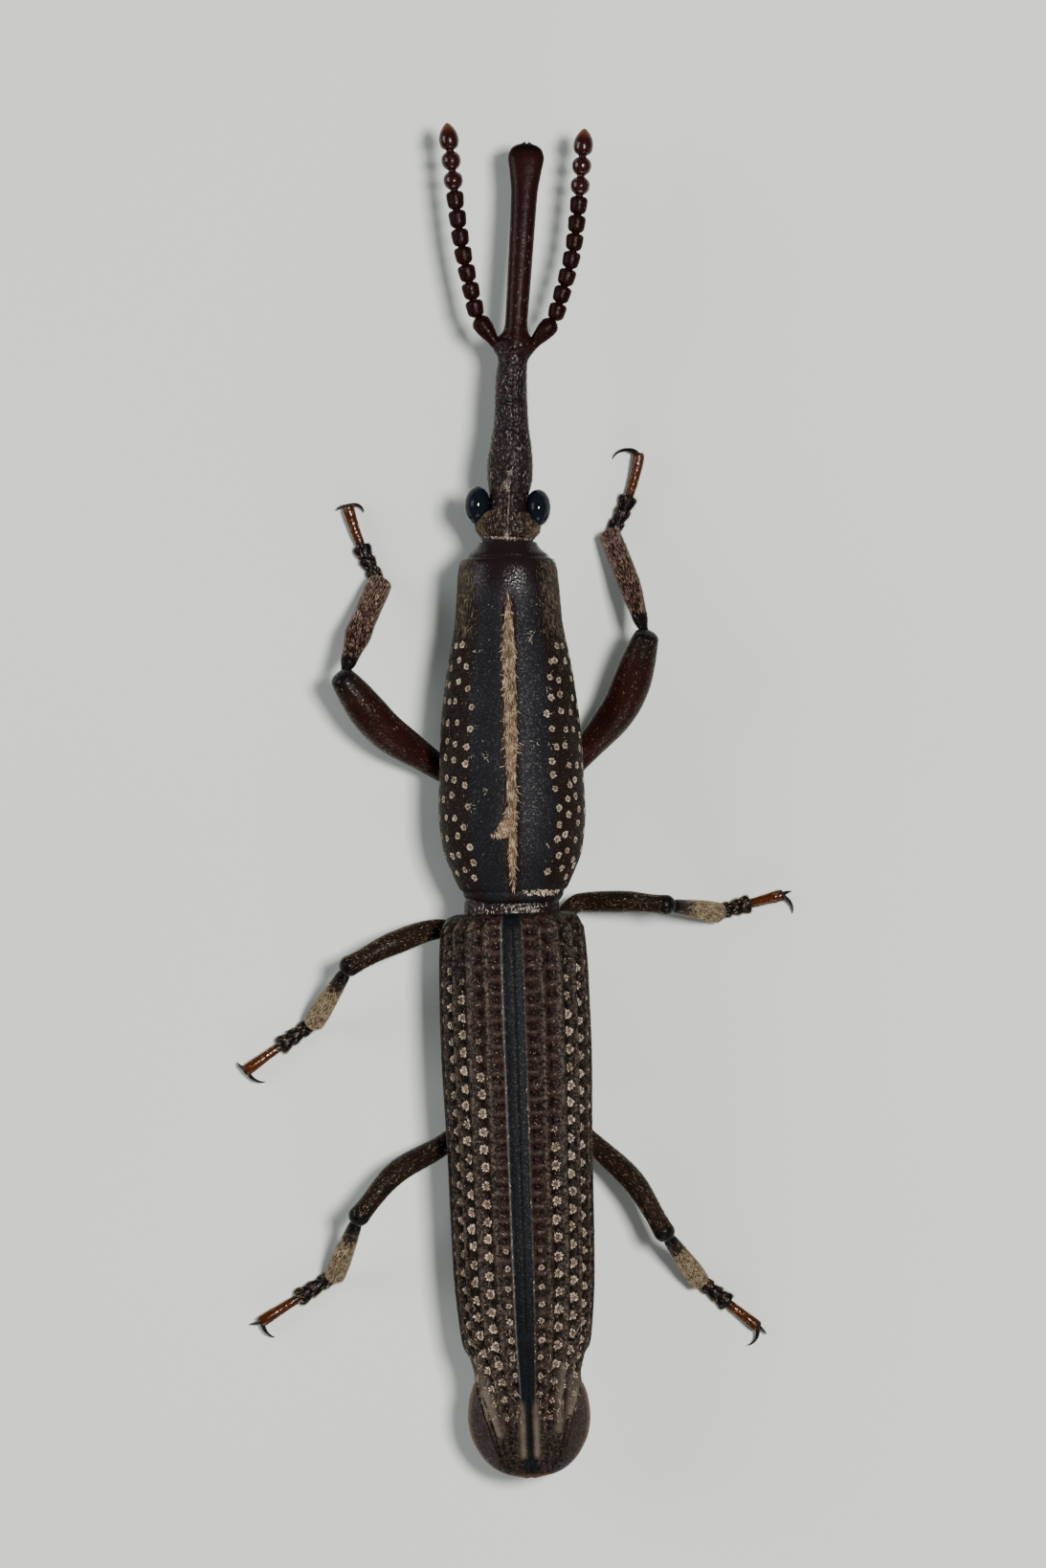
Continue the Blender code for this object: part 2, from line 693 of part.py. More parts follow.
def make_femur(name, leg, parent, collection):
    coxa, leaves, knee = Vector(leg.coxa), Vector(leg.leaves), Vector(leg.knee)
    heading = (leaves - coxa).normalized()
    start = coxa + heading * (COXA_RADIUS * 1.1 + JOINT_GAP)
    root, belly, end = leg.femur
    path = bowed_path([start, leaves, knee], leg.bows[0], FEMUR_STEPS)
    radii = radii_along(((0.0, root), (0.15, root * 1.05), (0.62, belly), (1.0, end)), FEMUR_STEPS)
    onward = (path[-1] - path[-2]).normalized()
    for ahead, share in ((0.55, 0.80), (0.95, 0.30)):
        path.append(knee + onward * end * ahead)
        radii.append(end * share)
    return tube(f"{name}_femur", path, radii, "red_brown_cuticle", parent, collection)


def make_tibia(name, leg, parent, collection):
    knee, ankle = Vector(leg.knee), Vector(leg.ankle)
    heading = (ankle - knee).normalized()
    start = knee + heading * (leg.femur[2] + JOINT_GAP)
    root, middle, end = leg.tibia
    path = bowed_path([start, ankle], leg.bows[1], TIBIA_STEPS)
    stations = ((0.0, root * 0.75), (0.06, root), (0.45, middle), (0.85, end), (1.0, end * 0.8))
    radii = radii_along(stations, TIBIA_STEPS)
    return tube(f"{name}_tibia", path, radii, "brown_black_cuticle", parent, collection)


def make_claw(name, root, heading, hook, claw, parent, collection):
    """One hooked claw, tapering to a point."""
    place, points, radii = root.copy(), [root.copy()], [CLAW_RADIUS]
    leaves = hook * claw.share
    for step in range(1, CLAW_STEPS + 1):
        t = step / CLAW_STEPS
        aside = math.radians(leaves + math.copysign(claw.curl, leaves) * t)
        turn = math.atan2(heading.y, heading.x) + aside
        dip = math.radians(claw.dip) * t
        way = Vector((math.cos(turn) * math.cos(dip), math.sin(turn) * math.cos(dip), -math.sin(dip)))
        place += way * claw.length / CLAW_STEPS
        points.append(place.copy())
        radii.append(CLAW_RADIUS * (1.0 - 0.75 * t))
    return as_mesh(tube(name, points, radii, None, parent, collection, sides=1))


def make_foot(name, leg, parent, collection):
    """Three padded joints flat on the floor, the claw joint, and two claws."""
    ankle = Vector((leg.ankle[0], leg.ankle[1], 0.0))
    toe = Vector((leg.toe[0], leg.toe[1], 0.0))
    path, radii = [ankle.lerp(toe, FOOT_START) + Vector((0, 0, FOOT_LEVEL))], [PAD_WAIST]
    for place, radius in zip(PAD_PLACES, PAD_RADII):
        for aside, width in ((-0.02, 0.92), (0.02, 1.0), (0.065, 0.0)):
            path.append(ankle.lerp(toe, place + aside) + Vector((0, 0, FOOT_LEVEL)))
            radii.append(max(radius * width, PAD_WAIST))
    for place, radius, level in CLAW_JOINT:
        path.append(ankle.lerp(toe, place) + Vector((0, 0, level)))
        radii.append(radius)
    foot = as_mesh(tube(f"{name}_tarsus", path, radii, None, parent, collection))
    for vertex in foot.data.vertices:
        vertex.co.z = max(vertex.co.z, 0.0)
    heading = (toe - ankle).normalized()
    root = toe - heading * CLAW_SET_BACK + Vector((0, 0, CLAW_JOINT[-1][2]))
    claws = [make_claw(f"{name}_claw_{number}", root, heading, leg.hook, claw, parent, collection)
             for number, claw in enumerate(CLAWS)]
    return fuse(foot, claws, "brown_black_cuticle")


def main():
    clear_scene()
    body = new_collection(BODY_NAME)
    stance = frame("stance", (0.0, 0.0), 0.0, None, body)
    head_frame = frame("head_frame", HEAD_JOINT, HEAD_TURN, stance, body)
    thorax_frame = frame("thorax_frame", THORAX_BASE, THORAX_TURN, stance, body)
    hind_frame = frame("hind_frame", WINGCASE_BASE, WINGCASE_TURN, stance, body)
    bpy.context.view_layer.update()
    make_head(head_frame, body)
    make_rostrum(head_frame, body)
    make_prothorax(thorax_frame, body)
    make_underside(hind_frame, body)
    for side, sign in (("left", -1), ("right", 1)):
        make_eye(side, sign, head_frame, body)
        make_antenna(side, sign, head_frame, body)
        make_wingcase(side, sign, hind_frame, body)
    for name, leg in LEGS.items():
        make_femur(name, leg, stance, body)
        make_tibia(name, leg, stance, body)
        make_foot(name, leg, stance, body)
    centre_over_origin(stance, body)


main()
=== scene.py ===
"""A Hormocerus weevil as a life-size museum model: its cuticle, scales and hair.

Sizes are in millimetres on the floor plan of the beetle, which faces +Y, and become metres
where a mesh is made. Head, prothorax and hind body each have a joint on the plan.
"""

import math
from collections import namedtuple
from functools import cache

import bmesh
import bpy
import numpy as np
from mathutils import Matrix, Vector


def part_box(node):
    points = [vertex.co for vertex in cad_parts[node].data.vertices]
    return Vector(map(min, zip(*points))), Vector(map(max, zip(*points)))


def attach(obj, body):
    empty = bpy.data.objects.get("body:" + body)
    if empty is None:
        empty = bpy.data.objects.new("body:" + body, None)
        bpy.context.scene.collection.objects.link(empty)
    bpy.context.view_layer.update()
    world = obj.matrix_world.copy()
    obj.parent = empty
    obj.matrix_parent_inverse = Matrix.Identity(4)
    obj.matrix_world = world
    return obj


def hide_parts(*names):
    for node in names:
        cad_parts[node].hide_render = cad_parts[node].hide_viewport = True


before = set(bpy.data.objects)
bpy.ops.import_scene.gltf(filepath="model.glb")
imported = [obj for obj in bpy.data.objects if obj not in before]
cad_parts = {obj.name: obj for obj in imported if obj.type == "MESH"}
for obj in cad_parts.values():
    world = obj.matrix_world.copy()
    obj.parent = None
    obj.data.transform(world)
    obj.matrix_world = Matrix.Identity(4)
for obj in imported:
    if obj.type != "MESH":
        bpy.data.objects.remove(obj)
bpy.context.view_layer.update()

MM = 0.001
BLUE_BLACK = "cuticle_blue_black"
BROWN_BLACK = "cuticle_brown_black"
RED_BROWN = "cuticle_red_brown"

# Joints of the body: place on the floor plan, and turn to the left in degrees
PLAN = (0.0, 0.0, 0.0)
HEAD_JOINT = (-0.24, 7.75, -2.8)
THORAX_JOINT = (-0.05, -3.1, 1.0)
WING_JOINT = (-0.11, -3.4, 2.0)

# The eyes give the place of the plan over the model's origin
EYE_ALONG = 1.1
EYE_LEVEL = 3.26
EYE_OUT = {-1: 0.95, 1: 0.86}
EYE_RADII = (0.39, 0.565, 0.54)
EYE_BACK = 0.09

# Photograph: its middle on the plan and the height of floor that it shows
PHOTO_MIDDLE = (0.23, 0.46)
PHOTO_HEIGHT = 47.04
LENS_MM = 250.0
SENSOR_MM = 36.0
# Level of the beetle's middle, half the floor's width, and the strength of the light all round
BODY_MIDDLE = 2.5
FLOOR_HALF = 900.0
ROOM_LIGHT = 0.12

# Prothorax: distance in front of its base, half width, top and underside
PROTHORAX = (
    (0, 1.32, 4.3, 1.9), (0.12, 1.43, 4.43, 1.77), (0.9, 1.82, 4.65, 1.45), (1.6, 2.09, 4.78, 1.3),
    (2.7, 2.2, 4.87, 1.22), (4.3, 2.15, 4.87, 1.25), (6, 2.01, 4.72, 1.42), (7.35, 1.8, 4.55, 1.62),
    (8.5, 1.57, 4.4, 1.8), (9.9, 1.47, 4.24, 2.02), (10.2, 1.39, 4.18, 2.1), (10.42, 1.2, 4.08, 2.22),
    (10.6, 0.98, 4, 2.34), (10.8, 0.86, 3.93, 2.42),
)
THORAX_LENGTH = PROTHORAX[-1][0]
THORAX_GRID = (300, 220)
THORAX_MAP = (0.02, 0.02, 0.9, 0.9)
BODY_POWER = 2.15
WIDE_AT = 0.48
FURROW_DEPTH = 0.07
FURROW_HALF = 0.16
# The pale stripe: distance in front of the base and half width, and the patch to its left
STRIPE = ((0.45, 0), (0.8, 0.05), (1.4, 0.1), (2.3, 0.12), (3.8, 0.15), (5.3, 0.19), (7.6, 0.2),
          (8.3, 0.15), (8.9, 0.06), (9.42, 0))
STRIPE_PATCH = (2.05, 0.62)
# Pale spots: angle round of each column, pitch along it at left and right, and radius of the pits
SPOT_ANGLES = (36.0, 50.0, 64.0, 80.0, 97.0)
SPOT_PITCH = {-1: 0.53, 1: 0.53 * 0.88}
SPOT_RADIUS = 0.1

# Head and snout in one: distance in front of the joint, half width, top and underside
HEAD = (
    (-0.25, 0.72, 3.86, 2.45), (0.08, 0.8, 3.93, 2.38), (0.28, 0.93, 4, 2.32), (0.52, 0.97, 4.03, 2.29),
    (0.74, 0.82, 4.01, 2.3), (0.95, 0.61, 3.97, 2.33), (1.3, 0.58, 3.91, 2.38), (1.6, 0.63, 3.86, 2.42),
    (1.9, 0.67, 3.79, 2.5), (2.2, 0.67, 3.74, 2.54), (2.85, 0.6, 3.66, 2.55), (3.6, 0.5, 3.54, 2.55),
    (4.6, 0.46, 3.42, 2.5), (5.3, 0.43, 3.35, 2.47), (6.5, 0.34, 3.17, 2.46), (8, 0.36, 3.02, 2.34),
    (10.4, 0.4, 2.76, 2.15), (11.1, 0.48, 2.67, 2.11), (11.52, 0.54, 2.6, 2.1), (11.76, 0.47, 2.52, 2.12),
    (11.88, 0.34, 2.46, 2.16), (11.95, 0.16, 2.39, 2.24),
)
HEAD_GRID = (460, 110)
HEAD_MAP = (0.05, 0.02, 0.4, 0.9)
SWAY = ((-0.3, 0), (3, -0.03), (4.9, -0.11), (6.5, -0.05), (11.5, 0), (12, 0))
SOCKET_ALONG = 5.86
SOCKET_OUT = 0.3
SOCKET_HALF = 0.3
ROUGH_SNOUT_END = 5.6
HEAD_PITS = 420

# Wing cases: distance behind their base, half width, top at the suture, level of the side edge
WING = (
    (0, 1.66, 4.36, 2.98), (0.05, 1.82, 4.5, 2.9), (0.15, 1.98, 4.62, 2.85), (0.5, 2.12, 4.78, 2.74),
    (2, 2.21, 4.96, 2.62), (3.8, 2.23, 5.03, 2.58), (7, 2.15, 5.02, 2.58), (10.6, 2.09, 4.86, 2.55),
    (12.7, 1.92, 4.58, 2.48), (13.93, 1.62, 4.25, 2.42), (14.6, 1.79, 4, 2.4), (15.15, 1.84, 3.78, 2.36),
    (15.65, 1.77, 3.56, 2.32), (16.2, 1.52, 3.3, 2.28), (16.6, 1.18, 3.08, 2.24), (16.85, 0.75, 2.92, 2.22),
    (16.95, 0.3, 2.8, 2.26),
)
WING_LENGTH = WING[-1][0]
WING_RINGS = 430
WING_ARC = 130
WING_POWER = 2.3
SUTURE_HALF = -0.006
# The rim below the side edge: share of the half width, and height over the edge
WING_LIP = ((0.985, -0.04), (0.93, -0.05), (0.8, 0.02), (0.4, 0.06), (0.02, 0.06))
# Half width of the ribbed back, which draws in behind the waist between two smooth lobes
BACK = ((0, 1.66), (0.5, 2.12), (2, 2.21), (3.8, 2.23), (7, 2.15), (10.6, 2.09), (12.7, 1.92),
        (13.9, 1.6), (15.2, 1.3), (16.2, 1.02), (16.95, 0.8))
# Rows of pits: angle round from the suture, pitch along the row, first pit and radius of its scales
Row = namedtuple("Row", "angle pitch start radius")
ROWS = (Row(11.5, 0.4, 0.35, 0.11), Row(27.0, 0.54, 0.52, 0.165), Row(43.5, 0.53, 0.4, 0.165),
        Row(60.0, 0.53, 0.62, 0.145), Row(76.0, 0.54, 0.45, 0.125))
# How far back the pits of each row are full of scales, and where the scales end
ROWS_FILL = {-1: (10.2, 4.4, 2.4, 1.6, 1.0), 1: (10.2, 6.9, 2.4, 1.6, 1.0)}
ROWS_END = 15.2
# Ribs: angle round from the suture, and how much of each is left behind the waist
RIBS = ((19.0, 0.2), (35.0, 0.45), (52.0, 1.0), (68.5, 0.9), (83.5, 0.4))
# Two strong ridges behind the waist of each wing case: distance along it and across from the suture
COSTAE = {
    -1: (((13, 1.56), (13.5, 1.48), (14.6, 1.16), (15.8, 0.84)), ((13.4, 1.58), (13.7, 1.5), (15.3, 1.15))),
    1: (((13.3, 1.12), (14.3, 0.98), (15.7, 0.86)), ((13.6, 1.56), (14, 1.48), (15.2, 1.14))),
}
# At left and right: the angle where the smooth band beside the suture ends, then the strength of
# the thin rib along it and the count of its hairs
SUTURE_BAND = {-1: 6.3, 1: 5.2}
THREAD = {-1: 1.0, 1: 0.3}
THREAD_HAIRS = {-1: 60, 1: 18}
PIT_DEPTH = 0.13
RIB_HEIGHT = 0.05

# Underside of the hind body: distance behind the wing cases' base, half width, top, lowest level
UNDER = (
    (-0.55, 1.3, 4.1, 2.1), (-0.3, 1.43, 4.2, 2), (0.1, 1.46, 4.25, 1.8), (0.3, 1.6, 3.6, 1.6),
    (0.6, 1.75, 2.9, 1.52), (1.2, 1.97, 2.75, 1.38), (3.5, 2.08, 2.66, 1.28), (7, 2.02, 2.66, 1.26),
    (11, 1.94, 2.62, 1.28), (13, 1.66, 2.54, 1.38), (14.6, 1.46, 2.46, 1.55), (15.7, 1.2, 2.4, 1.75),
    (16.2, 0.86, 2.36, 1.88), (16.38, 0.45, 2.33, 2),
)
UNDER_GRID = (340, 140)
PLATE_SEAMS = (6.45, 9.7, 12.1, 12.8, 13.55)

# Antennae: places of the first joint's end, the middle bead and the tip
ANTENNAE = {
    "left": ((-1.154, 14.45, 2.8), (-1.668, 16.97, 2.66), (-2.053, 20.3, 2.45)),
    "right": ((1.177, 14.36, 2.8), (1.777, 16.76, 2.66), (2.082, 20.13, 2.45)),
}
BEADS = 10
BEAD_RADII = (0.274, 0.298)
BEAD_NECK = 0.12
BEAD_AROUND = 26
LAST_BEAD = 1.5

# Legs: hip, place where the femur comes out, knee, ankle, toe, bows, radii, the two claws, and
# the foot's bend to the left in mm. A claw has its angle from the foot, its curl and its length.
Leg = namedtuple("Leg", "hip leaves knee ankle toe bows femur tibia claws bend")
LEGS = {
    "fore_left": Leg(
        (-0.85, -0.15, 1.32), (-2.4, 1.01, 1.32), (-5.18, 3.62, 2.75), (-4.09, 6.5, 0.72),
        (-5.08, 8.91), (0.26, 0.05), (0.27, 0.53, 0.33), (0.27, 0.36, 0.37),
        ((-58, -130, 0.66), (45, 90, 0.42)), 0.09),
    "fore_right": Leg(
        (0.8, -0.15, 1.32), (2.11, 1.44, 1.32), (3.92, 4.85, 2.75), (2.86, 7.95, 0.72),
        (3.74, 10.47), (-0.3, -0.06), (0.27, 0.55, 0.33), (0.25, 0.33, 0.33),
        ((45, 120, 1.03), (30, 100, 0.62)), -0.14),
    "mid_left": Leg(
        (-0.85, -4.1, 1.38), (-2.2, -3.9, 1.45), (-4.98, -5.0, 2.5), (-6.07, -6.72, 0.68),
        (-8.2, -8.24), (-0.14, 0.0), (0.25, 0.37, 0.32), (0.23, 0.26, 0.3),
        ((70, 85, 0.78), (-50, -45, 0.42)), 0.0),
    "mid_right": Leg(
        (0.85, -4.1, 1.38), (2.0, -3.1, 1.45), (4.52, -3.16, 2.85), (6.1, -3.42, 0.68),
        (8.1, -2.88), (0.06, 0.0), (0.25, 0.34, 0.3), (0.23, 0.26, 0.3),
        ((-28, -85, 0.78), (15, -20, 0.42)), 0.0),
    "hind_left": Leg(
        (-0.75, -9.05, 1.34), (-2.11, -10.35, 1.45), (-4.69, -12.49, 2.75), (-5.44, -14.36, 0.68),
        (-7.74, -15.82), (-0.28, 0.0), (0.25, 0.37, 0.32), (0.23, 0.26, 0.3),
        ((58, 75, 0.72), (-8, -20, 0.42)), 0.0),
    "hind_right": Leg(
        (0.95, -9.05, 1.34), (2.34, -10.35, 1.45), (4.47, -12.98, 2.5), (5.53, -14.5, 0.68),
        (7.36, -15.96), (0.22, 0.0), (0.25, 0.37, 0.32), (0.23, 0.26, 0.3),
        ((-26, -100, 0.82), (10, -25, 0.45)), 0.0),
}
HIP_RADIUS = 0.45
# The swollen fore femur: share of its length and radius, and how far its end rounds past the knee
FORE_CLUB = ((0.36, 0.44), (0.56, 0.57), (0.74, 0.6), (0.88, 0.53), (0.96, 0.45), (1.0, 0.4))
FORE_KNEE_CAP = 0.22
LEG_AROUND = 26
# Foot joints: share of the foot's length at the end of each, and its radius
PADS = ((0.21, 0.24), (0.35, 0.25), (0.5, 0.28))
PAD_SHAPE = ((0, 0.5), (0.12, 0.66), (0.45, 0.86), (0.78, 1.0), (0.93, 0.92), (1.0, 0.55))
FOOT_LEVEL = 0.2
TOE_LEVEL = 0.34
CLAW_DIP = 34
CLAW_RADIUS = 0.085
CLAW_SET_BACK = 0.12
CLAW_STEPS = 30
FLOOR_GAP = 0.01

# A tuft from root to tip: share of its length and of its width, and its thickness to its width
BLADE = ((0.0, 0.0), (0.28, 1.0), (0.7, 0.8), (1.0, 0.0))
BLADE_SIDES = ((-1, 0), (0, 1), (1, 0), (0, -1))
BLADE_THICKNESS = 0.44
# Size of a tuft's own patch on the map
PATCH = 0.003
# Waves in radians to the mm that give neighbouring tufts a like shade, and how much they shift it
CLUMP_WAYS = np.array([(17.0, 9.0, 4.0), (-8.0, 13.0, 6.0)])
CLUMP_TONE = 0.09
# Scales and hair: dark, middle and light shade
SHADES = {
    "scales_pale_tan": ("#3d2f24", "#8f7b64", "#cfc0a9"),
    "scales_straw_brown": ("#20150d", "#7d5e40", "#dcc6a3"),
    "scales_rose_grey": ("#2f231e", "#7b685b", "#d8cabd"),
    "scales_tan": ("#43332a", "#957e66", "#d4c5ae"),
    "scales_belly_grey": ("#6b5a4a", "#a3937f", "#d8cdbd"),
    "felt_golden_brown": ("#140f0a", "#362a1e", "#8b7b5f"),
    "felt_gold": ("#1a130c", "#4c3b27", "#a8956f"),
    "hairs_brown": ("#2e2018", "#655040", "#a8927a"),
    "hairs_rust": ("#2e1a12", "#7b5d4e", "#bca391"),
    "hairs_tan_gold": ("#3c2b1b", "#7f6846", "#c8b48f"),
}


def linear(code):
    """The linear colour of an sRGB hex code."""
    parts = [int(code[i:i + 2], 16) / 255 for i in (1, 3, 5)]
    return (*(c / 12.92 if c <= 0.04045 else ((c + 0.055) / 1.055) ** 2.4 for c in parts), 1.0)


def plan_shift():
    """From the plan to the model's frame, in mm, by the middle of the two eyes."""
    left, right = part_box("eye_left"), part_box("eye_right")
    x = (left[0].x + right[1].x) / 2 / MM
    y = (left[0].y + left[1].y + right[0].y + right[1].y) / 4 / MM
    turn = math.radians(HEAD_JOINT[2])
    return np.array([x - HEAD_JOINT[0] + EYE_ALONG * math.sin(turn),
                     y - HEAD_JOINT[1] - EYE_ALONG * math.cos(turn), 0.0])


SHIFT = plan_shift()


def placed(points, joint=PLAN):
    """Points in mm, in the frame at a joint of the plan, as metres in the model's frame."""
    points = np.asarray(points, float)
    cos, sin = math.cos(math.radians(joint[2])), math.sin(math.radians(joint[2]))
    x = joint[0] + points[..., 0] * cos - points[..., 1] * sin
    y = joint[1] + points[..., 0] * sin + points[..., 1] * cos
    return (np.stack([x, y, points[..., 2]], -1) + SHIFT) * MM


def curve(stations, at):
    """The values at places along the stations, on a curve that never overshoots them."""
    table = np.asarray(stations, float)
    places, values = table[:, 0], table[:, 1:]
    spans = np.diff(places)[:, None]
    slopes = np.diff(values, axis=0) / spans
    both = slopes[:-1] * slopes[1:]
    total = np.where(both > 0, slopes[:-1] + slopes[1:], 1.0)
    tangents = np.concatenate([slopes[:1], np.where(both > 0, 2 * both / total, 0.0), slopes[-1:]])
    i = np.clip(np.searchsorted(places, at, side="right") - 1, 0, len(places) - 2)
    t = np.clip((at - places[i]) / spans[i, 0], 0, 1)[:, None]
    start = (1 + 2 * t) * (1 - t) ** 2 * values[i] + t * (1 - t) ** 2 * spans[i] * tangents[i]
    end = t * t * (3 - 2 * t) * values[i + 1] - t * t * (1 - t) * spans[i] * tangents[i + 1]
    return start + end


def ease(value, start, end):
    """0 before start, 1 after end, and smooth between."""
    t = np.clip((value - start) / (end - start), 0, 1)
    return t * t * (3 - 2 * t)


def between(value, rise, fall):
    """0, then 1 after the rise, then 0 again after the fall."""
    return ease(value, *rise) * (1 - ease(value, *fall))


def hump(value, centre, half):
    return np.exp(-((value - centre) / half) ** 2)


def signed_power(value, power):
    return np.sign(value) * np.abs(value) ** power


def unit(vectors):
    size = np.linalg.norm(vectors, axis=-1, keepdims=True)
    return vectors / np.maximum(size, 1e-12)


def turns(count):
    """Angles once round."""
    return np.linspace(0, 2 * math.pi, count, endpoint=False)


class Skin:
    """A closed surface laid as rings, each with the same count of points around it.

    Places on it are v, 0 at the first ring to 1 at the last, and u, once round from 0 to 1.
    Marks are values from 0 to 1 at every point, which the materials read. A corner is a column
    that lies on an edge, and takes the normals of the column beside it.
    """

    def __init__(self, points, corners=()):
        self.points = points
        self.corners = corners
        self.marks = {}
        self.frozen = None

    def normals(self):
        around = np.roll(self.points, -1, axis=1) - np.roll(self.points, 1, axis=1)
        normals = unit(np.cross(around, np.gradient(self.points, axis=0)))
        for column, beside in self.corners:
            normals[:, column] = normals[:, beside]
        outward = np.sum(normals * (self.points - self.points.mean(axis=1, keepdims=True)))
        return normals if outward > 0 else -normals

    def raise_by(self, height):
        """Moves the surface out by a height in mm at each point."""
        self.points = self.points + self.normals() * (height * MM)[..., None]

    def sample(self, grid, v, u):
        rings, count = grid.shape[:2]
        row, column = np.clip(v, 0, 1) * (rings - 1), np.mod(u, 1.0) * count
        i = np.clip(row.astype(int), 0, rings - 2)
        j = column.astype(int) % count
        k = (j + 1) % count
        s, t = (row - i)[:, None], (column - np.floor(column))[:, None]
        first = grid[i, j] * (1 - t) + grid[i, k] * t
        return first * (1 - s) + (grid[i + 1, j] * (1 - t) + grid[i + 1, k] * t) * s

    def steps(self, v, u, dv, du):
        """The ways along and around, from one side of each place to the other."""
        return (self.sample(self.points, v + dv, u) - self.sample(self.points, v - dv, u),
                self.sample(self.points, v, u + du) - self.sample(self.points, v, u - du))

    def at(self, v, u):
        """Place, outward normal and the ways of growing v and u, once the surface has its shape."""
        if self.frozen is None:
            self.frozen = self.normals()
        normal = unit(self.sample(self.frozen, v, u))
        along, around = self.steps(v, u, *[0.5 / len(self.points)] * 2)
        along = unit(along - normal * np.sum(along * normal, axis=-1, keepdims=True))
        across = np.cross(normal, along)
        way = np.sign(np.sum(across * around, axis=-1, keepdims=True))
        return self.sample(self.points, v, u), normal, along, across * np.where(way == 0, 1.0, way)

    def spread(self, v, u):
        """Millimetres to one unit of v and to one unit of u."""
        shares = 1.0 / self.points.shape[0], 1.0 / self.points.shape[1]
        return [np.linalg.norm(way, axis=-1) / (2 * share) / MM
                for way, share in zip(self.steps(v, u, *shares), shares)]


def lay(x, y, z, joint=PLAN, corners=()):
    """A skin from places across, along and above the plan, in the frame at a joint."""
    return Skin(placed(np.stack(np.broadcast_arrays(x, y, z), -1), joint), corners)


def mesh_piece(name, points, faces, finish, marks, spots=None, crease=0.0):
    """A mesh with its marks. A coat has spots on the map, and its faces point outward already."""
    mesh = bpy.data.meshes.new(name)
    mesh.from_pydata(points.tolist(), [], faces)
    for mark, values in marks.items():
        layer = mesh.attributes.new(mark, "FLOAT", "POINT")
        layer.data.foreach_set("value", values.astype(np.float32))
    if spots is None:
        bm = bmesh.new()
        bm.from_mesh(mesh)
        bmesh.ops.recalc_face_normals(bm, faces=bm.faces[:])
        bm.to_mesh(mesh)
        bm.free()
    else:
        corners = np.zeros(len(mesh.loops), np.int32)
        mesh.loops.foreach_get("vertex_index", corners)
        layer = mesh.uv_layers.new(name="OFBake")
        layer.data.foreach_set("uv", spots[corners].astype(np.float32).ravel())
    mesh.shade_smooth()
    if crease:
        mesh.set_sharp_from_angle(angle=math.radians(crease))
    mesh.materials.append(finish)
    piece = bpy.data.objects.new(name, mesh)
    bpy.context.scene.collection.objects.link(piece)
    return piece


def show(piece, slot, *nodes):
    """Puts a finished piece on the model, in place of the nodes that it stands for."""
    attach(piece, "root")
    if nodes:
        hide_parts(*nodes)


def shell(name, skins, finish, slot, *nodes, crease=0.0):
    """One piece of one or more skins, each closed at both ends."""
    names = sorted({mark for skin in skins for mark in skin.marks})
    points, faces, marks, first = [], [], {mark: [] for mark in names}, 0
    for skin in skins:
        rings, count = skin.points.shape[:2]
        index = first + np.arange(rings * count).reshape(rings, count)
        turned = np.roll(index, -1, axis=1)
        quads = np.stack([index[:-1], turned[:-1], turned[1:], index[1:]], -1).reshape(-1, 4)
        faces += quads.tolist() + [index[0].tolist(), index[-1].tolist()]
        points.append(skin.points.reshape(-1, 3))
        for mark in names:
            marks[mark].append(np.broadcast_to(skin.marks.get(mark, 0.0), (rings, count)).ravel())
        first += rings * count
    marks = {mark: np.concatenate(values) for mark, values in marks.items()}
    show(mesh_piece(name, np.concatenate(points), faces, finish, marks, crease=crease), slot, *nodes)


def body_rings(stations, rings, count, wide_at=WIDE_AT, power=BODY_POWER):
    """Rings across the body, from the middle of the back round by the right side: distance along,
    angle from the top and half width, then place across and level."""
    along, angles = np.linspace(stations[0][0], stations[-1][0], rings), turns(count)
    half, top, bottom = (value[:, None] for value in curve(stations, along).T)
    wide = bottom + wide_at * (top - bottom)
    rise = np.where(np.cos(angles) > 0, top - wide, wide - bottom)
    return (along[:, None], angles, half, half * signed_power(np.sin(angles), 2 / power),
            wide + rise * signed_power(np.cos(angles), 2 / power))


def ball(rings, count, trim):
    """A ball of radius 1 with trimmed poles: two places across its axis and one along it."""
    polar = np.linspace(trim, math.pi - trim, rings)[:, None]
    return np.sin(polar) * np.cos(turns(count)), np.sin(polar) * np.sin(turns(count)), np.cos(polar)


def sweep(path, widths, heights, around=20):
    """Rings round a path in plan mm, with a half width and a half height at each point."""
    path = np.asarray(path, float)
    way = unit(np.gradient(path, axis=0))
    side = unit(np.cross(way, (0.0, 0.0, 1.0)))
    up = np.cross(side, way)
    angles = turns(around)
    return Skin(placed(path[:, None] + side[:, None] * (np.cos(angles) * np.c_[widths])[..., None]
                       + up[:, None] * (np.sin(angles) * np.c_[heights])[..., None]))


def uneven(skin, size, height, seed):
    """Slow swells of a given size over a skin, as in any grown surface."""
    rng = np.random.default_rng(seed)
    waves = np.zeros(skin.points.shape[:2])
    for _ in range(7):
        way = unit(rng.normal(size=3)) * rng.uniform(0.7, 1.4) * 2 * math.pi / (size * MM)
        waves += np.sin(skin.points @ way + rng.uniform(0, 6.3))
    skin.raise_by(waves / 7 * height)


def from_top(angles):
    """Degrees from the middle of the back, to the right above 0 and to the left below it."""
    return np.degrees(np.where(angles > math.pi, angles - 2 * math.pi, angles))[None]


def dents(place, degrees, half, spots, radius):
    """How deep round pits are, from the distance, the angle round and the depth of each."""
    deep = np.zeros((len(place), degrees.shape[1]))
    for distance, turn, depth in spots:
        arc = np.radians(degrees - turn) * half
        deep = np.maximum(deep, depth * np.exp(-((place - distance) ** 2 + arc ** 2) / radius ** 2))
    return deep


# Materials

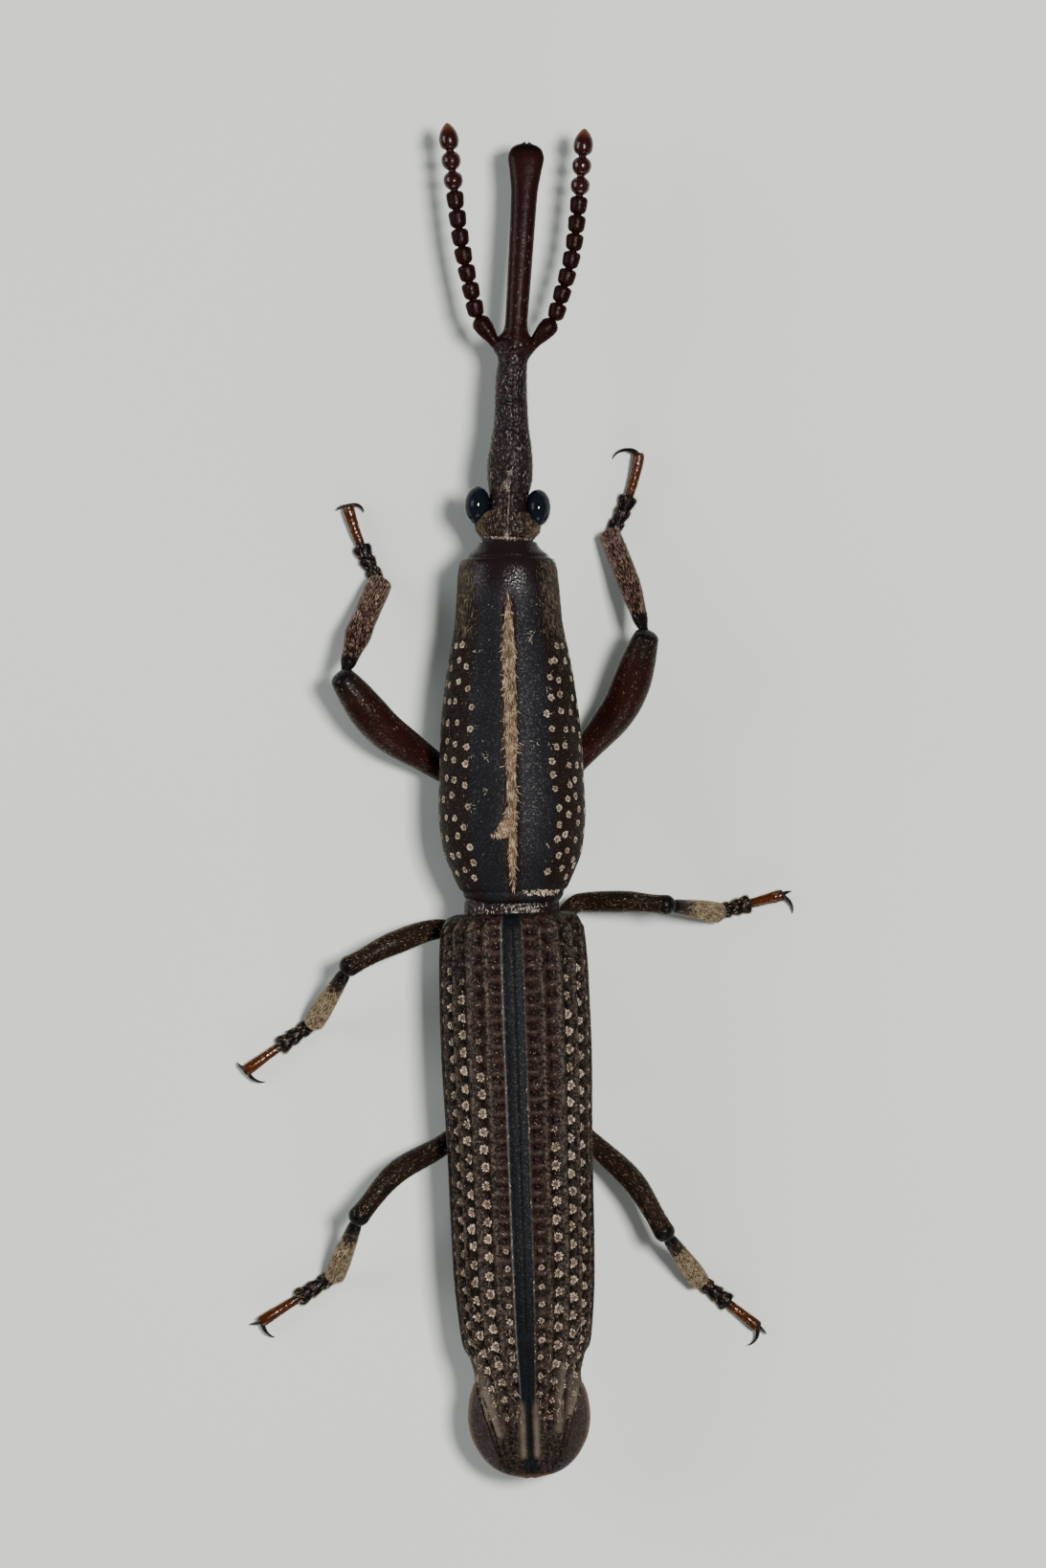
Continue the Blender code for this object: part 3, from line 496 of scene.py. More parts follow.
# Refraction of hardened chitin
CHITIN = {"IOR": 1.56}


class Finish:
    """A material as it is made. Marks go by their names, and a pattern is an output that varies."""

    def __init__(self, name, sockets, cloud=None):
        self.made = bpy.data.materials.new(name)
        self.made.use_nodes = True
        self.shader = self.made.node_tree.nodes["Principled BSDF"]
        for socket, value in sockets.items():
            self.shader.inputs[socket].default_value = value
        self.cloud = self.pattern(*cloud) if cloud else None

    def add(self, kind, settings):
        """One node, with settings by name or socket. A socket takes a value, a hex code, the name of a
        mark or the output that feeds it."""
        tree = self.made.node_tree
        node = tree.nodes.new("ShaderNode" + kind)
        for name, value in settings.items():
            if isinstance(name, str) and hasattr(node, name):
                setattr(node, name, value)
                continue
            if isinstance(value, str):
                value = linear(value) if value.startswith("#") else self.add(
                    "Attribute", {"attribute_name": value}).outputs["Fac"]
            if isinstance(value, bpy.types.NodeSocket):
                tree.links.new(value, node.inputs[name])
            else:
                node.inputs[name].default_value = value
        return node

    def pattern(self, size, detail=None, **settings):
        """Noise with a grain of a size in mm, or cells of that size where no detail is given."""
        settings.update({"Vector": self.add("TexCoord", {}).outputs["Object"], "Scale": 1 / (size * MM)})
        if detail is None:
            return self.add("TexVoronoi", settings).outputs["Distance"]
        return self.add("TexNoise", {"Detail": detail, **settings}).outputs["Fac"]

    def colours(self, ground, *layers):
        """A ground with others laid over it, each by a mark. A pair of codes varies by the cloud or by
        the pattern that comes third."""
        made = None
        for share, colour in ((None, ground), *layers):
            if isinstance(colour, tuple):
                low, high, *other = colour
                colour = self.colours(low, (other[0] if other else self.cloud, high))
            made = colour if made is None else self.add(
                "Mix", {"data_type": "RGBA", 0: share, 6: made, 7: colour}).outputs[2]
        return made

    def total(self, start, *terms):
        """A number with terms added, each the product of two marks, outputs or numbers."""
        for first, second in terms:
            start = self.add("Math", {"operation": "MULTIPLY_ADD", 0: first, 1: second,
                                      2: start}).outputs[0]
        return start

    def feed(self, socket, value):
        self.made.node_tree.links.new(value, self.shader.inputs[socket])

    def gleam(self, low, more, *terms):
        """Sheen that fine sculpture holds back, except on small scattered facets."""
        facets = self.add("MapRange", {"From Min": 0.52, "From Max": 0.74, "Value": self.pattern(0.06, 1.0)})
        self.feed("Specular IOR Level", self.total(low, (facets.outputs[0], more), *terms))

    def relief(self, *layers):
        """Bumps from several patterns, each with its depth in mm."""
        below = {}
        for height, depth in layers:
            bump = self.add("Bump", {"Strength": 1.0, "Distance": depth * MM, "Height": height, **below})
            below = {"Normal": bump.outputs["Normal"]}
        self.feed("Normal", below["Normal"])


def thorax_cuticle():
    """Hardened chitin, worn smooth: two satin blue-black bands, browner and duller at the sides."""
    finish = Finish("chitin_satin_thorax", CHITIN, (0.9, 4.0))
    # The pits of the pale spots are darkened near black with painted shade.
    finish.feed("Base Color", finish.colours(
        ("#0e0908", "#1f1511"), ("band", ("#0f0f12", "#1b1b1f")), ("front", "#190f10"), ("pit", "#070505")))
    finish.feed("Roughness", finish.total(0.5, ("band", -0.1), ("front", -0.34),
                                          (finish.pattern(0.12, 3.0), 0.12)))
    finish.gleam(0.03, 0.21, ("front", 0.07))
    swell = finish.total(0.0, (finish.pattern(0.22, 4.0), finish.total(1.0, ("front", -0.8))))
    finish.relief((swell, 0.014), (finish.pattern(0.055), 0.006))
    return finish.made


@cache
def wing_cuticle():
    """Hardened chitin, ribbed and pitted: satin blue-black beside the suture, brown and matt beyond."""
    finish = Finish("chitin_ribbed_wing_case", CHITIN, (0.45, 5.0))
    speckle = finish.add("MapRange", {"From Min": 0.4, "From Max": 0.66,
                                      "Value": finish.pattern(0.11, 4.0)}).outputs[0]
    # Pits, the trenches beside the strong ridges and the seam at the suture are darkened with painted shade.
    finish.feed("Base Color", finish.colours(
        ("#0b0807", "#31261f", speckle), ("rib", ("#120e0d", "#4d4137", speckle)),
        ("red", ("#0f0808", "#381b19", speckle)), ("pit", "#050404"), ("bar", "#39302b"),
        ("lobe", ("#151010", "#372d2a")), ("costa", ("#2f2822", "#64594d")), ("thread", "#4b4744"),
        ("band", ("#08090b", "#111417")), ("rim", "#573c2d")))
    finish.feed("Roughness", finish.total(0.46, ("band", -0.08), (finish.pattern(0.1, 3.0), 0.14)))
    finish.gleam(0.03, finish.total(0.31, ("band", -0.22)))
    finish.relief((finish.pattern(0.14, 4.0), 0.011), (finish.pattern(0.055), 0.006))
    return finish.made


def head_cuticle():
    """Chitin: punctured and matt on head and rear snout, polished dark red-brown on the front snout."""
    finish = Finish("chitin_punctured_head", CHITIN, (0.6, 4.0))
    # The punctures are darkened with painted shade, and the snout's rounded end is made near black.
    finish.feed("Base Color", finish.colours(
        ("#110607", "#240e0c"), ("rough", ("#0d0707", "#211613")), ("temple", "#1d130b"),
        ("pit", "#060404")))
    finish.feed("Roughness", finish.total(0.3, ("rough", 0.14)))
    finish.gleam(0.05, finish.total(0.11, ("rough", 0.26)))
    punctures = finish.total(0.0, ("rough", finish.pattern(0.1)))
    finish.relief((finish.pattern(0.2, 3.0), 0.01), (punctures, 0.016))
    return finish.made


@cache
def antenna_cuticle():
    """Polished chitin: dark red-brown beads that shine more in the club, paler at the last tip."""
    finish = Finish("chitin_polished_antenna", CHITIN, (0.4, 4.0))
    finish.feed("Base Color", finish.colours(("#0d0404", "#200a09"), ("club", "#230b09"),
                                             ("tip", "#5a2e20")))
    finish.feed("Roughness", finish.total(0.34, ("club", -0.19)))
    finish.gleam(0.03, 0.08, ("club", 0.22))
    finish.relief((finish.pattern(0.14, 3.0), 0.006), (finish.pattern(0.07), 0.004))
    return finish.made


@cache
def leg_cuticle():
    """Smooth chitin: red-brown with blackish joints, and a clear, glossy amber last foot joint."""
    finish = Finish("chitin_smooth_leg", CHITIN, (0.7, 4.0))
    finish.feed("Base Color", finish.colours(
        ("#0e0b09", "#261c16"), ("red", ("#120807", "#29100c")), ("dark", "#080606"),
        ("amber", ("#260f04", "#4a2006"))))
    finish.feed("Roughness", finish.total(0.24, (finish.pattern(0.2, 3.0), 0.18), ("amber", -0.17)))
    finish.gleam(0.04, 0.24, ("amber", 0.1))
    finish.relief((finish.pattern(0.2, 3.0), 0.012), (finish.pattern(0.07), 0.007))
    return finish.made


def belly_cuticle():
    """Chitin, finely punctured: a brown-black underside, with painted shade in the seams between its plates
    and in the groove along its middle.
    """
    finish = Finish("chitin_punctured_belly", {**CHITIN, "Roughness": 0.36}, (0.8, 4.0))
    # The seams between the plates and the middle groove are darkened with painted shade.
    finish.feed("Base Color", finish.colours(("#0d0807", "#1f1410"), ("seam", "#090606")))
    finish.gleam(0.08, 0.42)
    finish.relief((finish.pattern(0.3, 3.0), 0.01), (finish.pattern(0.1), 0.018))
    return finish.made


@cache
def eye_lens():
    """Clear faceted chitin over black pigment: a polished dome with one clear highlight. The facets are
    drawn coarser than the real 0.02 mm, and still barely show."""
    finish = Finish("chitin_faceted_eye", {"IOR": 1.5, "Roughness": 0.07}, (0.3, 2.0))
    # The dome below its crown is tinted blue-grey as a painted reflection of the surroundings, and shines
    # less.
    finish.feed("Base Color", finish.colours(("#040405", "#090a0d"), ("outer", "#0e1219")))
    finish.feed("Specular IOR Level", finish.total(0.5, ("outer", -0.4)))
    finish.relief((finish.pattern(0.035, Randomness=0.15), 0.0006))
    return finish.made


@cache
def claw_horn():
    """Chitin at its hardest, worn to a polish: black, and brown where it thins."""
    sockets = {**CHITIN, "Roughness": 0.24, "Specular IOR Level": 0.3}
    finish = Finish("chitin_polished_claw", sockets, (0.15, 2.0))
    finish.feed("Base Color", finish.colours(("#060505", "#1c0f0b")))
    finish.relief((finish.pattern(0.08, 2.0), 0.004))
    return finish.made


@cache
def scale_finish(name):
    """Flat dry chitin scales and hairs: matt with a little silk sheen, each its own shade. The fine
    ridges of a scale are drawn at 0.02 mm, about ten times too wide, so that they show."""
    sockets = {"IOR": 1.5, "Roughness": 0.62, "Sheen Weight": 0.08, "Sheen Roughness": 0.5,
               "Specular IOR Level": 0.3}
    dark, middle, light = SHADES[name]
    finish = Finish("chitin_" + name, sockets)
    shade = finish.colours(dark, (finish.total(0.0, ("shade", 2.0)), middle),
                           (finish.total(-1.0, ("shade", 2.0)), light))
    worn = finish.add("MapRange", {"From Min": 0.42, "From Max": 0.75, "To Max": 0.65,
                                   "Value": finish.pattern(0.05, 2.0)}).outputs[0]
    finish.feed("Base Color", finish.colours(shade, (worn, dark)))
    finish.relief((finish.pattern(0.02, 2.0), 0.003))
    return finish.made


# Coats of scales and hair


class Coat:
    """Tufts gathered for one piece: where each grows, which way it lies, its size and shade.

    Place is what they take of the map: its left and lower edge, its width and its height.
    """

    def __init__(self, seed, place=(0.02, 0.02, 0.95, 0.95)):
        self.rng = np.random.default_rng(seed)
        self.place = place
        self.parts = []

    def grow(self, skin, v, u, length, width, lie=180.0, fan=25.0, lift=12.0, shade=(0.2, 0.8)):
        """Tufts at places on a skin. Lie turns them from the way of growing v to growing u."""
        count = len(v)
        place, normal, along, across = skin.at(v, u)
        turn = np.radians(lie + self.rng.normal(0, fan, count))[:, None]
        heading = along * np.cos(turn) + across * np.sin(turn)
        length = length * self.rng.uniform(0.75, 1.2, count)
        width = width * self.rng.uniform(0.8, 1.2, count)
        lift = np.radians(np.clip(lift * self.rng.uniform(0.5, 1.6, count), 2, 85))
        tone = self.rng.uniform(*shade, count)
        tone = np.clip(tone + CLUMP_TONE * np.sin(place @ CLUMP_WAYS.T / MM).sum(axis=1), 0, 1)
        left, low, wide, high = self.place
        spot = np.stack([left + np.mod(u, 1.0) * wide, low + np.clip(v, 0, 1) * high], -1)
        self.parts.append((place, normal, heading, length, width, lift, tone, spot))

    def over(self, skin, count, along, around, length, width, keep=None, **growing):
        """Tufts scattered over a stretch of a skin, kept by a chance at each place."""
        v = self.rng.uniform(*along, count)
        u = self.rng.uniform(min(around), max(around), count)
        if keep:
            kept = self.rng.uniform(0, 1, count) < keep(v, u)
            v, u = v[kept], u[kept]
        self.grow(skin, v, u, length, width, **growing)

    def rosette(self, skin, v, u, radius, count, **growing):
        """A round cluster of tufts that lie outward, darker at its middle, radius in mm."""
        if count < 1:
            return
        inner = max(1, count // 3)
        outer = count - inner
        turn = np.r_[np.arange(inner) / inner, np.arange(outer) / outer]
        turn = (turn + self.rng.uniform()) * 2 * math.pi + self.rng.normal(0, 0.12, count)
        shade = [np.r_[np.full(inner, low), np.full(outer, high)] for low, high in ((0, 0.4), (0.4, 1))]
        out = radius * np.r_[np.full(inner, 0.06), np.full(outer, 0.42)] * self.rng.uniform(0.8, 1.2, count)
        long, wide = skin.spread(np.array([v]), np.array([u]))
        self.grow(skin, v + out * np.cos(turn) / long, u + out * np.sin(turn) / wide, radius * 0.6,
                  radius * 0.36, lie=np.degrees(turn), shade=shade, **growing)

    def spot(self, skin, v, u, radius, count, length, width, **growing):
        """A round patch of tufts, radius in mm."""
        out = radius * np.sqrt(self.rng.uniform(0, 1, count))
        turn = self.rng.uniform(0, 2 * math.pi, count)
        long, wide = skin.spread(np.array([v]), np.array([u]))
        self.grow(skin, v + out * np.cos(turn) / long, u + out * np.sin(turn) / wide, length, width,
                  **growing)

    def piece(self, name, finish, slot):
        """The gathered tufts as solid, tapered, bent blades of ten points each."""
        place, normal, heading, length, width, lift, tone, spot = (
            np.concatenate(values) for values in zip(*self.parts))
        across = np.cross(heading, normal)
        long, half, slope = (length * MM)[:, None], (width * MM / 2)[:, None], lift[:, None]
        points, spots = [], []
        for share, breadth in BLADE:
            rise = np.sin(slope) * (share - 0.45 * share ** 2) * long
            middle = place + heading * long * share * np.cos(slope) + normal * rise
            for side, up in BLADE_SIDES if breadth else ((0, 0),):
                points.append(middle + half * breadth * (across * side + normal * up * BLADE_THICKNESS))
                spots.append(spot + np.array([side * breadth, share * 2 - 1]) * PATCH / 2)
        points = np.stack(points, 1).reshape(-1, 3)
        points[:, 2] = np.maximum(points[:, 2], FLOOR_GAP * MM)
        blade = [(0, i, i % 4 + 1) for i in range(1, 5)]
        blade += [(i, i + 4, i % 4 + 5, i % 4 + 1) for i in range(1, 5)]
        blade += [(9, i % 4 + 5, i + 4) for i in range(1, 5)]
        faces = [[corner + 10 * tuft for corner in face] for tuft in range(len(place)) for face in blade]
        spots = np.stack(spots, 1).reshape(-1, 2)
        show(mesh_piece(name, points, faces, scale_finish(finish), {"shade": np.repeat(tone, 10)}, spots),
             slot)


# Prothorax


def thorax_spots(rng):
    """Pale spots in uneven columns down both sides: distance, angle round and size."""
    spots = []
    for side in (-1, 1):
        for column, angle in enumerate(SPOT_ANGLES):
            along = 0.75 + 0.22 * (column % 2) + rng.uniform(0, 0.2)
            while along < (7.9 if column else 7.4):
                lean = 6.0 * ease(along, 5.0, 7.6)
                turn = angle + lean * (0.4 if column else 1) + rng.normal(0, 2.8)
                spots.append((along, side * turn, rng.uniform(0.6, 1.0)))
                along += SPOT_PITCH[side] * rng.uniform(0.85, 1.3)
    return spots


def make_thorax():
    place, angles, half, x, z = body_rings(PROTHORAX, *THORAX_GRID)
    skin = lay(x, place, z, THORAX_JOINT)
    uneven(skin, 1.4, 0.02, 12)
    degrees = from_top(angles)
    top = np.abs(degrees) < 90
    furrow = np.exp(-(x / FURROW_HALF) ** 4) * top * between(place, (0.3, 0.9), (8.7, 9.3))
    spots = thorax_spots(np.random.default_rng(11))
    pits = dents(place, degrees, half, spots, SPOT_RADIUS)
    skin.raise_by(-FURROW_DEPTH * furrow - 0.03 * hump(place, 10.36, 0.04) - 0.05 * hump(place, 0.33, 0.07)
                  - 0.035 * pits)
    share = np.abs(x) / half
    band = np.maximum(between(share, (0.1, 0.16), (0.5, 0.66)),
                      ease(place, 8.9, 9.6) * (1 - ease(share, 0.55, 0.75)))
    # The pits are darkened with painted shade.
    skin.marks = {"band": band * top, "pit": 0.8 * pits, "front": 0.8 * ease(place, 8.8, 10.0)}
    shell("thorax_shell", [skin], thorax_cuticle(), BLUE_BLACK, "prothorax", crease=60)
    scale_thorax(skin, spots)
    stripe_thorax(skin)
    felt_thorax(skin)


def scale_thorax(skin, spots):
    coat = Coat(21, THORAX_MAP)
    rng = coat.rng
    for distance, turn, size in spots:
        coat.rosette(skin, distance / THORAX_LENGTH, turn / 360, 0.075 + 0.05 * size, int(15 + 7 * size),
                     fan=9)
    coat.over(skin, 170, (0.024, 0.036), (0.03, 0.17), 0.1, 0.04,
              lambda v, u: 0.3 + 0.7 * hump(u, 0.09, 0.05), fan=50, shade=(0.3, 1.0))
    coat.over(skin, 260, (0.05, 0.8), (-0.27, 0.27), 0.09, 0.02,
              lambda v, u: ease(np.abs(u), 0.08, 0.13), fan=40, lift=10, shade=(0.0, 0.5))
    for side in (-1, 1):
        for _ in range(6):
            coat.spot(skin, rng.uniform(0.12, 0.8), side * rng.uniform(0.045, 0.095), 0.1,
                      rng.integers(3, 8), 0.12, 0.012, fan=80, lift=10, shade=(0.6, 1.0))
        coat.over(skin, 30, (0.08, 0.86), (side * 0.035, side * 0.12), 0.05, 0.014, fan=90,
                  shade=(0.3, 0.9))
    coat.piece("scales_thorax", "scales_pale_tan", BLUE_BLACK)


def stripe_thorax(skin):
    """The stripe in the furrow, with stray bright scales beside it and a patch to its left."""
    coat = Coat(22, THORAX_MAP)
    rng, count, strays = coat.rng, 5200, 110
    v = rng.uniform(0.04, 0.872, count)
    width = curve(STRIPE, v * THORAX_LENGTH)[:, 0] * rng.uniform(0.7, 1.05, count)
    side = rng.uniform(-1, 1, count)
    wide = skin.spread(v, np.zeros(count))[1]
    kept = rng.uniform(0, 1, count) < width / 0.16
    coat.grow(skin, v[kept], (side * width / wide)[kept], 0.21, 0.016, lie=180 - 3 * side[kept], fan=14,
              lift=13, shade=(0.0, 0.9))
    v = rng.uniform(0.1, 0.82, strays)
    edge = rng.choice([-1, 1], strays)
    out = curve(STRIPE, v * THORAX_LENGTH)[:, 0] * edge * rng.uniform(0.2, 0.95, strays)
    coat.grow(skin, v, out / wide[:strays], 0.24, 0.016, lie=180 - 30 * edge, fan=34, lift=14,
              shade=(0.8, 1.0))
    patch = rng.uniform(0, 1, (260, 2))
    v = (STRIPE_PATCH[0] + STRIPE_PATCH[1] * patch[:, 0]) / THORAX_LENGTH
    reach = -0.13 - 0.46 * patch[:, 1] * (1 - patch[:, 0])
    coat.grow(skin, v, reach / wide[:len(v)], 0.16, 0.03, fan=24, lift=10)
    coat.piece("stripe_thorax", "scales_straw_brown", BLUE_BLACK)


def felt_thorax(skin):
    """Golden felt on both shoulders, thinner and darker farther back."""
    coat = Coat(23, THORAX_MAP)
    for side in (-1, 1):
        coat.over(skin, 3500, (0.68, 0.965), (side * 0.07, side * 0.32), 0.17, 0.012,
                  lambda v, u: ease(np.abs(u), 0.075, 0.17) * between(v, (0.68, 0.86), (0.935, 0.965)),
                  fan=20, lift=14, shade=(0.0, 0.9))
        coat.over(skin, 110, (0.74, 0.95), (side * 0.11, side * 0.25), 0.19, 0.014, fan=26, lift=16,
                  shade=(0.6, 1.0))
        coat.over(skin, 500, (0.5, 0.78), (side * 0.14, side * 0.36), 0.12, 0.018, fan=20, lift=10,
                  shade=(0.0, 0.5))
    coat.piece("felt_thorax", "felt_golden_brown", BLUE_BLACK)


# Head, snout, eyes and feelers


def make_head():
    rng = np.random.default_rng(31)
    place, angles, half, x, z = body_rings(HEAD, *HEAD_GRID, wide_at=0.5)
    sockets = SOCKET_OUT * hump(place, SOCKET_ALONG, SOCKET_HALF)
    x = x + sockets * signed_power(np.sin(angles), 3)
    skin = lay(x + curve(SWAY, place[:, 0]), place, z, HEAD_JOINT)
    upper = np.cos(angles) > 0.2
    line = 0.06 * hump(x, 0, 0.05) * between(place, (0.0, 0.2), (1.7, 2.1))
    line = line + 0.03 * hump(x, 0, 0.06) * between(place, (2.3, 3.0), (5.0, 5.6))
    degrees = from_top(angles)
    spots = [(rng.uniform(0.3, 6.4), rng.uniform(-170, 170), 1.0) for _ in range(HEAD_PITS)]
    pits = dents(place, degrees, half, spots, 0.045)
    skin.raise_by(-line * upper - 0.022 * pits)
    skin.marks = {
        "rough": 1 - ease(place, ROUGH_SNOUT_END - 0.7, ROUGH_SNOUT_END + 0.9),
        # Painted shade in the punctures, and near black at the snout's rounded end.
        "pit": np.maximum(0.7 * pits, 0.9 * ease(place, 11.62, 11.86)),
        "temple": between(place, (0.0, 0.1), (0.65, 1.0)) * ease(np.abs(degrees), 35, 60),
    }
    shell("head_and_snout", [skin], head_cuticle(), BROWN_BLACK, "head", "rostrum", crease=60)
    scale_head(skin)
    felt_head(skin)


def head_v(along):
    start, end = HEAD[0][0], HEAD[-1][0]
    return (np.asarray(along, float) - start) / (end - start)


def scale_head(skin):
    """Rosy grey scales: a line down the head, four patches on it, the neck, and streaks on the snout."""
    coat = Coat(41, HEAD_MAP)
    rng = coat.rng
    coat.grow(skin, head_v(rng.uniform(0.12, 1.45, 90)), rng.normal(0, 0.003, 90), 0.09, 0.012, lie=0,
              fan=14, shade=(0.0, 0.8))
    for along, u, radius, count in ((0.18, 0.0, 0.12, 60), (1.52, -0.02, 0.11, 60),
                                    (1.72, -0.01, 0.13, 80), (1.95, 0.0, 0.1, 40)):
        coat.spot(skin, float(head_v(along)), u, radius, count, 0.08, 0.012, lie=0, fan=50,
                  shade=(0.0, 0.8))
    neck = rng.normal(-0.01, 0.075, 110)
    coat.grow(skin, head_v(rng.normal(0.09, 0.01, 110)), neck, 0.09, 0.02, fan=40, shade=(0.0, 0.9))
    coat.over(skin, 560, head_v((0.5, 5.6)), (-0.32, 0.32), 0.13, 0.011,
              lambda v, u: 1 - 0.75 * ease(v, 0.25, 0.5), lie=0, fan=12, lift=9, shade=(0.0, 0.9))
    coat.over(skin, 45, head_v((6.2, 9.6)), (-0.2, 0.2), 0.09, 0.014, lie=0, fan=20, shade=(0.0, 0.6))
    coat.piece("scales_head", "scales_rose_grey", BROWN_BLACK)


def felt_head(skin):
    """Gold felt on the temples and the throat, and thin along the sides of the snout."""
    coat = Coat(42, HEAD_MAP)
    for side in (-1, 1):
        coat.over(skin, 1700, head_v((0.05, 0.8)), (side * 0.03, side * 0.32), 0.13, 0.011,
                  lambda v, u: 0.15 + 0.85 * ease(np.abs(u), 0.08, 0.2), lie=20, fan=30, lift=18,
                  shade=(0.0, 0.9))
        coat.over(skin, 300, head_v((1.7, 5.2)), (side * 0.21, side * 0.3), 0.12, 0.014, lie=0, fan=20,
                  lift=18, shade=(0.1, 0.8))
    coat.over(skin, 500, head_v((0.1, 0.9)), (0.3, 0.7), 0.16, 0.024, lie=0, shade=(0.1, 0.8))
    coat.piece("felt_head", "felt_gold", BROWN_BLACK)


def make_eye(side, sign):
    """A dome, set into the side of the head."""
    y, z, x = ball(60, 72, 0.02)
    skin = lay(sign * (EYE_OUT[sign] + EYE_RADII[0] * x), EYE_ALONG - EYE_BACK + EYE_RADII[1] * y,
               EYE_LEVEL + EYE_RADII[2] * z, HEAD_JOINT)
    # Outer is the dome below its crown, which gets a painted reflection tint.
    skin.marks = {"outer": 1 - ease(z, 0.945, 0.985)}
    shell(f"eye_dome_{side}", [skin], eye_lens(), "eye_lens", f"eye_{side}")


def head_point(x, along, level):
    return placed((x, along, level), HEAD_JOINT) / MM - SHIFT


def make_mandibles():
    """Two short blunt jaws that close under the tip of the snout."""
    skins, t = [], np.linspace(0, 1, 20)
    for sign in (-1, 1):
        path = [head_point(sign * out, along, 2.27)
                for out, along in ((0.13, 11.7), (0.14, 11.84), (0.1, 11.94), (0.03, 12.0))]
        radii = np.interp(t, (0, 0.5, 1), (0.1, 0.065, 0.012))
        skins.append(sweep(curve(np.c_[np.linspace(0, 1, 4), path], t), radii, radii * 0.8, 14))
    shell("mandibles", skins, claw_horn(), RED_BROWN)


def make_feeler(side, sign):
    """A stalk, nine beads and a long last one. The last four are the rounder club."""
    begin, middle, tip = np.array(ANTENNAE[side])
    socket = head_point(sign * (0.36 + SOCKET_OUT * 0.6) - 0.09, SOCKET_ALONG + 0.02, 2.86)
    t = np.linspace(0, 1, 40)
    radii = curve(((0, 0.17), (0.15, 0.18), (0.4, 0.24), (0.62, 0.28), (0.78, 0.285), (0.9, 0.23),
                   (0.97, 0.14), (1.0, 0.08)), t)[:, 0]
    skins = [sweep(socket + (begin - socket) * t[:, None], radii, radii, 22)]
    lengths = [0.95 + 0.2 * (bead / BEADS) ** 2 for bead in range(BEADS - 1)] + [LAST_BEAD]
    first = np.linalg.norm(middle - begin)
    whole = first + np.linalg.norm(tip - middle)
    route = ((0.0, *begin), (first, *middle), (whole, *tip))
    t = (1 - np.cos(np.linspace(0, math.pi, 30))) / 2
    barrel = np.clip((t - 0.01) / 0.98, 0, 1)
    begins = 0.0
    for bead, length in enumerate(lengths):
        club = float(ease(bead, 6.0, 7.0))
        radius = BEAD_RADII[0] + (BEAD_RADII[1] - BEAD_RADII[0]) * club
        full = np.maximum(1 - np.abs(2 * barrel - 1) ** (5.0 - 2.7 * club), 0) ** (0.43 + 0.07 * club)
        radii = np.maximum(radius * (0.86 + 0.17 * barrel + 0.06 * club * (1 - barrel)) * full, BEAD_NECK)
        marks = {"club": club}
        if bead == BEADS - 1:
            radii = curve(((0.0, BEAD_NECK), (0.03, 0.13), (0.1, radius * 0.76), (0.24, radius * 0.95),
                           (0.4, radius), (0.6, radius * 0.9), (0.78, radius * 0.66),
                           (0.91, radius * 0.37), (0.985, 0.045), (1.0, 0.01)), t)[:, 0]
            marks["tip"] = ease(t, 0.55, 1.0)[:, None]
        along = whole * (begins + length * t) / sum(lengths)
        skin = sweep(curve(route, along), radii, radii * 0.96, BEAD_AROUND)
        skin.marks = marks
        skins.append(skin)
        begins += length
    shell(f"feeler_{side}", skins, antenna_cuticle(), RED_BROWN, f"antenna_{side}")
    return skins


def hair_feelers(feelers):
    coat = Coat(51)
    for number, skins in enumerate(feelers):
        for bead, skin in enumerate(skins):
            coat.place = (0.05 + 0.45 * number, 0.02 + 0.085 * bead, 0.4, 0.07)
            coat.over(skin, 30, (0.2, 0.8), (0, 1), 0.08, 0.007, lie=0, fan=15, lift=26, shade=(0.0, 0.5))
    coat.piece("hairs_feelers", "hairs_brown", RED_BROWN)


# Wing cases


